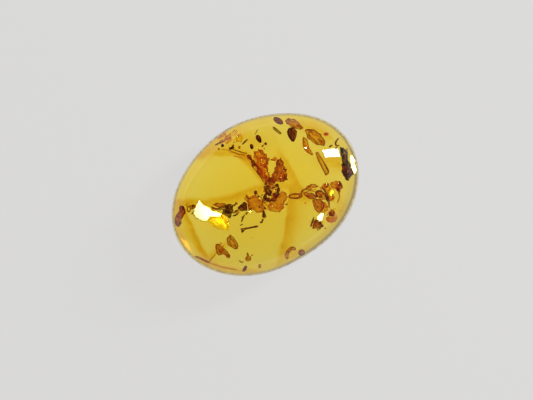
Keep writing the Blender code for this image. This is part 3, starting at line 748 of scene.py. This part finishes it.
def make_cracks(lamp_place):
    white = crack_material("crack_white", (1.0, 0.98, 1.0, 1), 0.13, 0.16, 0.6)
    pale = crack_material("crack_pale", (1.0, 0.97, 0.5, 1), 0.2, 0.24, 1.8)
    golden = crack_material("crack_golden", (1.0, 0.86, 0.1, 1), 0.3, 0.6, 4.0)
    fine = crack_material("crack_fine", (1.0, 0.82, 0.2, 1), 0.25, 0.1, 0.2)
    crack("crack_star", STAR, 2.1, white, lamp_place)
    crack("crack_star_glow", GLOW, 1.7, golden, lamp_place)
    crack("crack_star_arc", GLOW_ARC, 1.9, fine, lamp_place)
    crack("crack_leaf", LEAF_GLINT, 1.8, white, lamp_place)
    crack("crack_edge", EDGE_STREAK, 0.6, pale, lamp_place)
    crack("crack_yellow", YELLOW_FILM, 1.4, golden, lamp_place)
    tilt = (math.cos(STONE_TURN), math.sin(STONE_TURN))
    for number, (x, y, width, height) in enumerate(SMALL_GLINTS):
        outline = []
        for corner in range(7):
            turn = 2 * math.pi * corner / 7 + number
            right, up = math.cos(turn) * width / 2, math.sin(turn) * height / 2
            outline.append((x + right * tilt[0] + up * tilt[1], y - right * tilt[1] + up * tilt[0]))
        level = dome_rise(x * MM, y * MM) / MM - GLINT_DEPTH
        crack("glint_%d" % number, outline, level, fine if number else white, lamp_place)


# Litter: small ragged flakes between the larger debris

# Each set: its look, its finish, and for each flake its level, thickness and outline, in mm
LITTER = {
    # The brightest flakes, partly painted glints.
    "litter_bright": ("bright_gold", "golden_flake", [
        (0.3, 0.15, [(0.12, 7.13), (0.57, 7.12), (0.86, 6.83), (0.6, 6.58), (0.11, 6.72)]),
        (0.3, 0.15, [(0.32, 6.61), (0.95, 6.48), (1.01, 5.97), (0.54, 5.78), (0.16, 6.12)]),
        (0.2, 0.15, [(-0.16, 5.16), (0.34, 4.63), (0.61, 3.89), (0.63, 3.12), (0.27, 3.51),
                     (-0.01, 4.43)]),
        (0.9, 0.15, [(-0.56, -0.33), (-0.17, -0.67), (-0.27, -1.14), (-0.72, -1.52), (-1.04, -1.16),
                     (-0.87, -0.67)]),
        (0.7, 0.15, [(3.78, -1.7), (4.42, -2), (4.98, -2.05), (4.62, -2.26), (4.06, -2.02)]),
        (0.6, 0.15, [(2.13, -1.43), (2.5, -1.49), (2.93, -1.76), (2.93, -1.95), (2.59, -1.94),
                     (2.15, -1.69)])]),
    "litter_golden": ("gold_scale", "golden_flake", [
        (0.5, 0.2, [(5.11, -2.23), (5.59, -2.1), (6, -2.4), (6.04, -2.83), (5.53, -3.11), (5.23, -2.82)]),
        (0.9, 0.2, [(4.44, -2.36), (5.04, -2.54), (5.23, -3.12), (5, -3.62), (4.56, -3.37), (4.36, -2.9)]),
        (0.3, 0.15, [(-0.55, 6.98), (0.07, 7.03), (-0.08, 6.6), (-0.58, 6.54), (-0.95, 6.7)]),
        (0.3, 0.15, [(5.29, -3.32), (5.89, -3.5), (5.88, -3.9), (5.38, -3.96), (5.17, -3.72)])]),
    "litter_orange": ("amber_scale", "orange_flake", [
        (0.5, 0.25, [(4.27, -3.66), (4.81, -3.74), (4.92, -4.28), (4.53, -4.63), (3.97, -4.48),
                     (3.86, -4.08)]),
        (0.3, 0.25, [(4.04, -5.17), (4.61, -5.1), (5.16, -5.35), (5.1, -5.78), (4.46, -5.95),
                     (4.03, -5.58)]),
        (0.5, 0.2, [(6.54, -2.88), (6.83, -3.17), (6.67, -3.66), (6.37, -3.78), (6.33, -3.34)]),
        (0.4, 0.2, [(-1.29, 6.96), (-0.85, 6.9), (-0.83, 6.5), (-1.29, 6.56)])]),
    "litter_red": ("red_crust", "orange_flake", [
        (0.9, 0.25, [(0.54, 3.06), (0.91, 2.79), (0.93, 2.13), (0.62, 1.5), (0.46, 1.82), (0.42, 2.55)]),
        (1.0, 0.25, [(0.99, 1.63), (1.34, 1.13), (1.56, 0.6), (0.94, 0.55), (0.61, 0.98)])]),
    "litter_brown": ("brown_scale", "brown_bark", [
        (0.5, 0.2, [(-5.04, 1.81), (-4.49, 1.55), (-3.9, 1.15), (-4.3, 0.86), (-4.86, 1.3)]),
        (0.8, 0.2, [(0.53, 0.73), (1.07, 0.56), (1.26, 0.19), (0.82, 0.04), (0.41, 0.33)]),
        (0.9, 0.2, [(0.69, -0.29), (1.22, -0.37), (1.29, -0.76), (0.76, -0.98), (0.44, -0.62)]),
        (0.4, 0.2, [(4.65, -4.82), (5.11, -4.83), (5.17, -5.24), (4.72, -5.4), (4.41, -5.15)])]),
    "litter_dark": ("dark_clot", "dark_seed", [
        (0.9, 0.2, [(0.33, 0.5), (0.67, 0.18), (0.64, -0.27), (0.2, -0.42), (0.12, 0.04)]),
        (0.2, 0.2, [(-4.45, 0.42), (-4.09, 0.43), (-3.85, 0.13), (-4.15, 0.01), (-4.46, 0.19)]),
        (0.3, 0.15, [(-3.75, 0.01), (-3.07, 0.08), (-2.82, -0), (-3.37, -0.15), (-3.78, -0.15)])]),
    "litter_olive": ("olive_fibre", "olive_stem", [
        (0.3, 0.2, [(-4.44, 1.23), (-3.75, 1), (-3.37, 0.55), (-3.72, 0.17), (-4.33, 0.41),
                    (-4.62, 0.81)])]),
}
LITTER_EDGE = 0.13
RIM_REACH = 0.25


def flake(build, level, depth, outline):
    """A thin ragged lens between two sheets that meet along a wandering outline."""
    plan = flat_plan(outline, LITTER_EDGE)
    upper, lower = {}, {}
    for corner in plan.verts:
        x, y = corner.co.x, corner.co.y
        inside = distance_to_path(x, y, outline + outline[:1])
        half = depth / 2 * math.sqrt(min(1.0, inside / RIM_REACH))
        x += 0.12 * noise.noise(Vector((x * 3.3, y * 3.3, 1)))
        y += 0.12 * noise.noise(Vector((x * 3.3, y * 3.3, 6)))
        fold = 0.12 * noise.noise(Vector((x * 2, y * 2, 4)))
        upper[corner] = real_place(x, y, level + fold + half)
        lower[corner] = real_place(x, y, level + fold - half)
    closed_sheet(build, plan, upper, lower)
    plan.free()


def make_litter():
    for name, (look, slot, flakes) in LITTER.items():
        build = bmesh.new()
        for level, depth, outline in flakes:
            flake(build, level, depth, outline)
        item = new_object(name, build)
        note_directions(item.data)
        item.data.materials.append(look_of(look))
        place_piece(item, slot)


# Fine threads and crumbs


def tube(build, points, width, sides=7):
    """A thread along a path of real places, pointed at both ends."""
    rings = []
    last = len(points) - 1
    for step in range(1, last):
        along = (points[step + 1] - points[step - 1]).normalized()
        side = Vector((-along.y, along.x, 0)).normalized()
        up = along.cross(side)
        swell = 0.75 + 0.5 * noise.noise(points[step] / MM * 3)
        radius = width * MM / 2 * swell
        ring = []
        for number in range(sides):
            turn = 2 * math.pi * number / sides
            ring.append(build.verts.new(points[step] + (side * math.cos(turn) + up * math.sin(turn)) * radius))
        rings.append(ring)
    for lower, upper in zip(rings, rings[1:]):
        for number in range(sides):
            after = (number + 1) % sides
            build.faces.new((lower[number], lower[after], upper[after], upper[number]))
    for ring, tip in ((rings[0], points[0]), (rings[-1], points[-1])):
        end = build.verts.new(tip)
        for number in range(sides):
            build.faces.new((ring[number], ring[(number + 1) % sides], end))


def smooth_path(points, steps):
    padded = [2 * points[0] - points[1]] + list(points) + [2 * points[-1] - points[-2]]
    path = []
    for number in range(steps + 1):
        place = number / steps * (len(points) - 1)
        segment = min(int(place), len(points) - 2)
        t = place - segment
        a, b, c, d = padded[segment:segment + 4]
        curve = 2 * b + (c - a) * t + (2 * a - 5 * b + 4 * c - d) * t ** 2
        path.append((curve + (3 * b - a - 3 * c + d) * t ** 3) / 2)
    return path


# Threads: their look, width, level and the points they pass
THREADS = {
    "threads_brown": ("red_bark", "brown_bark", [
        (0.1, 0.1, [(-0.86, 5.98), (-0.34, 5.26), (0.23, 4.64), (0.5, 4.45)]),
        (0.1, 1.1, [(-0.75, 0.54), (-0.64, 0.13), (-0.53, -0.28), (-0.65, -0.68)]),
        (0.12, 1.1, [(-1.78, 0.79), (-1.67, 0.38), (-1.44, 0.36)]),
        (0.1, 0.7, [(0.22, 3.42), (0.37, 2.41), (0.5, 0.96)]),
        (0.1, 0.2, [(-5.64, -4.44), (-5.52, -4.74), (-5.28, -4.82)]),
        (0.08, 0.5, [(2.1, 5.65), (2.39, 5.84), (2.65, 5.98)])]),
    "threads_orange": ("orange_scale", "orange_flake", [
        (0.11, 0.5, [(5.1, -2.04), (5.05, -2.72), (5.1, -3.45), (5, -4.09), (4.89, -4.61)]),
        (0.11, 0.6, [(5.28, -2.73), (5.32, -3.17), (5.31, -3.69)]),
        (0.11, 0.3, [(6.55, -3.48), (6.3, -4.03), (5.78, -4.48)]),
        (0.11, 1.3, [(3.57, -1.86), (4.15, -2.07), (4.57, -2.55), (4.85, -3.07)]),
        (0.11, 1.3, [(3.46, -2.26), (4.05, -2.44), (4.45, -2.95)])]),
    "threads_golden": ("gold_scale", "golden_flake", [
        (0.11, 0.3, [(-1.6, 6.11), (-0.95, 5.62), (-0.34, 4.86), (0.3, 4.3)]),
        (0.09, 0.5, [(-0.88, 4.94), (-0.35, 4.45), (0.1, 3.88)]),
        (0.08, 0.4, [(-1.0, 5.5), (-0.5, 5.0), (-0.1, 4.3)]),
        (0.12, -0.1, [(-8.32, -3.23), (-7.47, -4.18), (-6.23, -5.26)]),
        (0.12, -0.2, [(-7.34, -2.75), (-7.89, -2.89), (-8.35, -3.09)])]),
}


def make_threads():
    for name, (look, slot, threads) in THREADS.items():
        build = bmesh.new()
        for width, level, points in threads:
            path = smooth_path([Vector((x, y, level)) for x, y in points], 12)
            tube(build, [real_place(*point) for point in path], width)
        item = new_object(name, build)
        note_directions(item.data)
        item.data.materials.append(look_of(look))
        place_piece(item, slot)


# Crumbs: place seen, size, level
DARK_CRUMBS = [(-6.92, 2.54, 0.4, 0.3), (-7.26, 2.0, 0.26, 0.3), (-7.38, 3.0, 0.16, 0.5), (2.22, 4.3, 0.24, 0.2),
               (2.61, 4.31, 0.26, 0.3), (2.22, 3.95, 0.16, 0.3), (8.17, 0.84, 0.34, 0.3), (8.49, 0.42, 0.26, 0.2),
               (9.42, -0.24, 0.14, 0.0), (9.25, -0.43, 0.2, 0.1), (-2.59, -0.75, 0.24, 0.2),
               (-3.63, -1.49, 0.26, 0.3), (0.12, 5.35, 0.24, 0.4), (1.33, -1.99, 0.24, 0.3),
               (-3.38, -3.16, 0.14, 0.2), (-2.98, 0.63, 0.24, 0.4), (-0.52, -0.76, 0.2, 1.0),
               (-0.73, -1.22, 0.2, 1.0), (-0.37, 5.81, 0.2, 0.3), (-1.75, 6.26, 0.2, 0.1),
               (-3.49, -1.95, 0.14, 0.4), (-3.19, -0.84, 0.16, 0.5), (-0.33, 0.06, 0.2, 0.5),
               (-0.73, 0.1, 0.16, 0.4), (-0.06, -0.5, 0.18, 0.6), (-6.28, -3.13, 0.1, 0.0)]
GOLDEN_CRUMBS = [(-7.15, 3.1, 0.14, 0.5), (-7.1, 2.78, 0.16, 0.5), (-6.82, 2.96, 0.12, 0.4),
                 (-0.74, 6.38, 0.2, 0.3), (-5.45, 1.29, 0.3, 0.1), (1.76, 3.86, 0.24, 0.2),
                 (-0.52, -0.35, 0.2, 0.9), (-1.41, -0.59, 0.2, 0.8), (3.01, -2.82, 0.16, 0.3),
                 (3.49, -6.01, 0.24, 0.2), (2.54, -5.23, 0.2, 0.7), (2.49, -4.73, 0.2, 0.6),
                 (-4.25, -4.66, 0.2, 0.2), (1.28, -1.58, 0.2, 1.0)]


# Clouds of finer crumbs: middle seen, reach to the right and up in the picture, how many, level,
# and the kinds they take in turn: dark, orange or bright
CRUMB_CLOUDS = [(0.68, 0, 0.86, 0.86, 46, 0.9, "dob"), (-2.82, 0, 1.51, 0.4, 26, 0.5, "dob"),
                (-0.61, -0.82, 0.5, 0.81, 22, 0.9, "dob"), (4.74, -3.47, 1.11, 1.11, 44, 0.7, "obo"),
                (2.99, -5.26, 0.61, 0.55, 34, 0.9, "dob"), (1.24, 2.59, 0.6, 1.2, 30, 1.3, "obb"),
                (0.1, 6.4, 0.95, 0.45, 16, 0.5, "bbo"), (0.25, 4.28, 0.91, 0.4, 12, 0.3, "ob"),
                (-4.3, 0.86, 0.91, 0.4, 16, 0.5, "dob"), (4.72, -4.9, 0.61, 0.6, 16, 0.4, "ob"),
                (-6.7, -2.5, 0.81, 0.71, 10, 0.3, "ob"), (2.24, 0.67, 0.5, 0.61, 10, 1.0, "ob")]
CRUMB_SEED = 7


def crumbs_of(wanted):
    """The clouds' crumbs of one kind: place seen, size, level."""
    chance = random.Random(CRUMB_SEED)
    crumbs = []
    for middle_x, middle_y, reach_right, reach_up, count, level, kinds in CRUMB_CLOUDS:
        for number in range(count):
            turn, out = chance.uniform(0, 2 * math.pi), math.sqrt(chance.random())
            right, up = math.cos(turn) * out * reach_right, math.sin(turn) * out * reach_up
            x = middle_x + right * math.cos(STONE_TURN) + up * math.sin(STONE_TURN)
            y = middle_y - right * math.sin(STONE_TURN) + up * math.cos(STONE_TURN)
            crumb = (x, y, chance.uniform(0.09, 0.24), level + chance.uniform(-0.2, 0.4))
            if kinds[number % len(kinds)] == wanted:
                crumbs.append(crumb)
    return crumbs


def make_crumbs():
    sets = {"crumbs_dark": (DARK_CRUMBS + crumbs_of("d"), "dark_clot", "dark_seed"),
            "crumbs_orange": (GOLDEN_CRUMBS + crumbs_of("o"), "amber_scale", "orange_flake"),
            # Bright crumbs, partly painted glints.
            "crumbs_bright": (crumbs_of("b"), "bright_gold", "golden_flake")}
    for name, (crumbs, look, slot) in sets.items():
        build = bmesh.new()
        for x, y, size, level in crumbs:
            made = bmesh.ops.create_icosphere(build, subdivisions=2, radius=size * MM / 2)
            middle = real_place(x, y, level)
            for corner in made["verts"]:
                way = corner.co / MM / size * 1.9 + Vector((x * 3, y * 3, 0))
                lump = 1 + 1.0 * noise.noise(way) + 0.5 * noise.noise(way * 2.3)
                squeeze = 0.7 + 0.3 * math.sin(x * 7 + y * 5)
                corner.co = middle + Vector((corner.co.x, corner.co.y * squeeze, corner.co.z * 0.7)) * lump
        item = new_object(name, build)
        note_directions(item.data)
        item.data.materials.append(look_of(look, outline=0.3))
        place_piece(item, slot)


# The resin's flow: a thin layer, deeper gold where later flows ran over earlier ones, except one band
# of painted reflection below the lamp's highlight. Along the stone's rim the layer carries painted shade.

FLOW_LEVEL = -1.25
FLOW_CELL = 0.12
FLOW_SHARE = 0.995
# The painted shade along the stone's rim: where its line starts and how wide it is, the turn toward its thick side,
# and its broader band.
RIM_SHADE_START = 0.965
RIM_SHADE_WIDTH = 0.02
RIM_SHADE_TURN = math.radians(22)
BROAD_SHADE_START = 0.86
BROAD_SHADE_WIDTH = 0.05

# Bands of deeper gold: strength, the points they pass, and how far they reach to their left and
# right, in mm, going along the points. A short reach gives a sharp boundary.
FLOW_BANDS = [
    (0.7, [(-4.21, 6.64), (-2.76, 6.32), (-0.78, 5.11), (0.02, 3.48), (0.43, 1.37),
           (0.5, 0.28)], 1.0, 0.2),
    (0.75, [(0.48, 0.65), (-0.95, 1.01), (-2.51, 1.33), (-4.42, 1.86), (-6.09, 2.6),
            (-8.3, 3.83)], 0.8, 0.3),
    (0.12, [(3.63, 6.87), (3.67, 5.33), (3.58, 3.98), (3.68, 2.75)], 0.3, 0.9),
    (0.75, [(3.54, 1.9), (3.49, 0.41), (3.4, -0.94), (3.66, -1.91)], 0.14, 0.9),
    (0.5, [(1.8, 0.11), (2.76, -1.04), (3.58, -2.45)], 0.35, 0.5),
    (0.75, [(1.97, -1.39), (1.38, -2.22), (0.54, -3.36)], 1.1, 0.12),
    (0.6, [(0.54, -3.36), (-0.25, -4.3), (-1.08, -5.34)], 0.9, 0.14),
    (0.4, [(-1.08, -5.34), (-1.71, -6.02), (-2.58, -6.91)], 0.8, 0.16),
    (0.45, [(-1.25, -5.94), (-0.5, -6.84), (0.65, -7.28)], 0.6, 0.6),
    (1.0, [(-7.82, 2.44), (-7.97, 1.59), (-8.12, 0.51), (-8.31, -1.01), (-8.39, -2.95)], 0.16, 0.5),
    (0.5, [(-8.37, 3.7), (-7.29, 2.95)], 0.5, 0.5),
    (0.5, [(-8.34, -2.86), (-7.05, -2.45), (-5.87, -2.43)], 0.35, 0.35),
    # Below the lamp's highlight on the dome: a painted reflection, darker gold.
    (0.7, [(7.22, -0.01), (8.02, -0.83)], 0.6, 1.0),
    (0.5, [(6.9, 4.26), (7.78, 3.17), (8.43, 2.08)], 0.4, 0.7),
    (0.35, [(6.16, -3.83), (6.18, -5.01), (5.28, -5.54)], 0.5, 0.7),
    (0.7, [(-8.39, -2.95), (-7.39, -4.24), (-6.02, -5.5), (-4.24, -6.65)], 0.2, 0.5),
    (0.5, [(-9.49, 0.37), (-9.32, 1.67), (-8.78, 3)], 0.9, 0.5),
    (0.45, [(-3.12, 6.71), (-1.95, 7.31), (-0.24, 7.84)], 0.5, 0.9),
    (0.35, [(-0.48, 7.04), (1.02, 6.4), (1.91, 4.71)], 1.0, 1.0),
]
RIM_DEPTH = 0.2
RIM_START = 0.8


def distance_to_path(x, y, path):
    return abs(reach_from_path(x, y, path, 1.0, 1.0))


def reach_from_path(x, y, path, left, right):
    """How far a place is from a path, in shares of the reach on its side, nearest stretch first."""
    nearest = 1e9
    for (ax, ay), (bx, by) in zip(path, path[1:]):
        run_x, run_y = bx - ax, by - ay
        off_x, off_y = x - ax, y - ay
        part = min(1.0, max(0.0, (off_x * run_x + off_y * run_y) / (run_x ** 2 + run_y ** 2)))
        away = math.hypot(off_x - run_x * part, off_y - run_y * part)
        if away < abs(nearest):
            nearest = away if run_x * off_y - run_y * off_x > 0 else -away
    return nearest / left if nearest > 0 else -nearest / right


def flow_strength(x, y):
    """How deep the gold is at a place seen, from 0 to 1."""
    drift = Vector((noise.noise(Vector((x * 0.8, y * 0.8, 3))), noise.noise(Vector((x * 0.8, y * 0.8, 8)))))
    x_moved, y_moved = x + drift.x * 0.18, y + drift.y * 0.18
    clear = 1.0
    for strength, path, left, right in FLOW_BANDS:
        near = reach_from_path(x_moved, y_moved, path, left, right)
        clear *= 1 - strength * math.exp(-near * near)
    rim = max(0.0, share_out(x * MM, y * MM) - RIM_START) / (1 - RIM_START)
    return 1 - clear * (1 - RIM_DEPTH * rim)


def rim_shade_strength(x, y):
    """How strongly painted shade, a painted reflection of dark surroundings, darkens the stone's rim at a place
    seen, from 0 to 1: a thin line at the outline, thicker and with a broader faint band toward the right of the
    picture.
    """
    share = share_out(x * MM, y * MM)
    rightward = max(0.0, math.cos(math.atan2(y, x) + STONE_TURN + RIM_SHADE_TURN)) ** 2
    line = (share - RIM_SHADE_START + 0.028 * rightward) / RIM_SHADE_WIDTH
    broad_shade = 0.25 * rightward * min(1.0, max(0.0, (share - BROAD_SHADE_START) / BROAD_SHADE_WIDTH))
    return min(1.0, max(0.0, line, broad_shade))


def flow_material():
    """A tint that deepens with the flow's strength, with grey-violet painted shade at the stone's rim. It neither
    bends nor reflects light.
    """
    material, tree, shader = new_material("flow_layer")
    place = add_node(tree, "ShaderNodeTexCoord").outputs["Object"]
    cloud = noise_value(tree, place, 900, 3.0, 0.8)
    flow = attribute(tree, "flow")
    uneven = calc(tree, "MULTIPLY", flow, calc(tree, "ADD", cloud, 0.5))
    stops = [(0.0, (1, 1, 1, 1)), (0.5, (0.96, 0.8, 0.3, 1)), (1.0, (0.86, 0.6, 0.06, 1))]
    yellow = smooth_step(tree, attribute(tree, "share"), 0.82, 0.94)
    colour = mix(tree, yellow, ramp(tree, uneven, stops), (1.0, 0.95, 0.45, 1), "MULTIPLY")
    # Painted shade at the rim: a grey-violet tint where the rim shade strength is high.
    colour = mix(tree, attribute(tree, "edge"), colour, (0.42, 0.36, 0.42, 1))
    tree.links.new(colour, shader.inputs["Base Color"])
    shader.inputs["Roughness"].default_value = 0.0
    shader.inputs["IOR"].default_value = 1.0
    shader.inputs["Transmission Weight"].default_value = 1.0
    return material


def make_flow():
    """A thin closed sheet on a fine grid, so that the bands' sharp boundaries show."""
    build = bmesh.new()
    layer = build.verts.layers.float.new("flow")
    rim_shade_layer = build.verts.layers.float.new("edge")
    share_layer = build.verts.layers.float.new("share")
    across = int(HALF_LENGTH / MM / FLOW_CELL) + 1
    corners = {}
    for column in range(-across, across + 1):
        for row in range(-across, across + 1):
            x, y = column * FLOW_CELL, row * FLOW_CELL
            if share_out(x * MM, y * MM) < FLOW_SHARE:
                wave = 0.22 * noise.noise(Vector((x * 0.25, y * 0.25, 0)))
                corner = build.verts.new(real_place(x, y, FLOW_LEVEL + wave))
                corner[layer] = flow_strength(x, y)
                corner[rim_shade_layer] = rim_shade_strength(x, y)
                corner[share_layer] = share_out(x * MM, y * MM)
                corners[column, row] = corner
    for column, row in list(corners):
        places = ((column, row), (column + 1, row), (column + 1, row + 1), (column, row + 1))
        if all(place in corners for place in places):
            build.faces.new([corners[place] for place in places])
    loose = [corner for corner in build.verts if not corner.link_faces]
    bmesh.ops.delete(build, geom=loose, context="VERTS")
    thicken(build, 0.01 * MM)
    item = new_object("flow_layer", build)
    item.data.materials.append(flow_material())
    place_piece(item, "amber")


# The surroundings


# The pale floor glows softly, and a little more where the stone covers it
FLOOR_GLOW = 0.665
GLOW_BELOW = 0.735
GLOW_SLOPE = 17.0
MOST_BELOW = 0.765


def make_floor():
    build = bmesh.new()
    bmesh.ops.create_grid(build, x_segments=1, y_segments=1, size=2.0)
    floor = new_object("floor", build)
    floor.location.z = -0.03 * MM
    material, tree, shader = new_material("pale_floor")
    shader.inputs["Base Color"].default_value = (0.05, 0.05, 0.05, 1)
    shader.inputs["Roughness"].default_value = 0.9
    place = add_node(tree, "ShaderNodeTexCoord").outputs["Object"]
    shape = add_node(tree, "ShaderNodeVectorMath", {0: place, 1: (1 / HALF_LENGTH, 1 / HALF_WIDTH, 0)},
                     operation="MULTIPLY").outputs[0]
    out = add_node(tree, "ShaderNodeVectorMath", {0: shape}, operation="LENGTH").outputs["Value"]
    upward = (math.sin(STONE_TURN) * GLOW_SLOPE, math.cos(STONE_TURN) * GLOW_SLOPE, 0)
    slope = add_node(tree, "ShaderNodeVectorMath", {0: place, 1: upward}, operation="DOT_PRODUCT")
    below = calc(tree, "MINIMUM", calc(tree, "ADD", slope.outputs["Value"], GLOW_BELOW), MOST_BELOW)
    glow = mix(tree, smooth_step(tree, out, 0.82, 0.98),
               add_node(tree, "ShaderNodeCombineColor", {"Red": below, "Green": below, "Blue": below}).outputs[0],
               (FLOOR_GLOW, FLOOR_GLOW * 0.995, FLOOR_GLOW * 0.985, 1))
    tree.links.new(glow, shader.inputs["Emission Color"])
    shader.inputs["Emission Strength"].default_value = 1.0
    floor.data.materials.append(material)


def make_world():
    """Soft light from low at the sides, and dark overhead, so that little mirrors in the dome."""
    world = bpy.data.worlds.new("soft_studio")
    bpy.context.scene.world = world
    world.use_nodes = True
    tree = world.node_tree
    way = add_node(tree, "ShaderNodeTexCoord").outputs["Generated"]
    height = add_node(tree, "ShaderNodeSeparateXYZ", {"Vector": way}).outputs["Z"]
    stops = [(0.0, (0.28, 0.28, 0.28, 1)), (0.1, (0.12, 0.12, 0.12, 1)), (0.4, (0.08, 0.08, 0.08, 1)),
             (0.8, (0.1, 0.1, 0.1, 1))]
    rightward = (math.cos(STONE_TURN), -math.sin(STONE_TURN), 0)
    side = add_node(tree, "ShaderNodeVectorMath", {0: way, 1: rightward}, operation="DOT_PRODUCT")
    strength = calc(tree, "ADD", calc(tree, "MULTIPLY", side.outputs["Value"], 0.8), 1.0)
    background = tree.nodes["Background"]
    tree.links.new(ramp(tree, height, stops), background.inputs["Color"])
    tree.links.new(strength, background.inputs["Strength"])


def make_softbox():
    """A rectangular lamp whose reflection on the dome has the four given side middles."""
    sides = (HIGHLIGHT_LEFT, HIGHLIGHT_RIGHT, HIGHLIGHT_TOP, HIGHLIGHT_BOTTOM)
    ends = [spot + way * SOFTBOX_DISTANCE for spot, way in map(reflected_at, sides)]
    left, right, top, bottom = ends
    place = (left + right + top + bottom) / 4
    toward = (place - Vector((0, 0, GIRDLE))).normalized()
    along = (right - left) - toward * (right - left).dot(toward)
    rise = toward.cross(along.normalized())
    data = bpy.data.lights.new("softbox", "AREA")
    data.shape = "RECTANGLE"
    data.size = along.length
    data.size_y = abs((top - bottom).dot(rise))
    data.energy = SOFTBOX_RADIANCE * math.pi * data.size * data.size_y
    item = bpy.data.objects.new("softbox", data)
    bpy.context.scene.collection.objects.link(item)
    item.matrix_world = Matrix.Translation(place) @ Matrix((along.normalized(), rise, toward)).transposed().to_4x4()
    return place


def make_camera():
    data = bpy.data.cameras.new("camera")
    camera = bpy.data.objects.new("camera", data)
    bpy.context.scene.collection.objects.link(camera)
    data.sensor_width = 36
    data.lens = data.sensor_width * (CAMERA_HEIGHT - GIRDLE) / (IMAGE_WIDTH / PIXELS_PER_MM * MM)
    data.clip_start = 0.01
    camera.location = camera_place()
    camera.rotation_euler = (0, 0, -STONE_TURN)
    bpy.context.scene.camera = camera
    bpy.context.scene.view_settings.view_transform = "Standard"


make_camera()
make_floor()
make_world()
lamp_place = make_softbox()
make_amber()
dress_debris()
make_litter()
make_threads()
make_crumbs()
make_flow()
make_cracks(lamp_place)
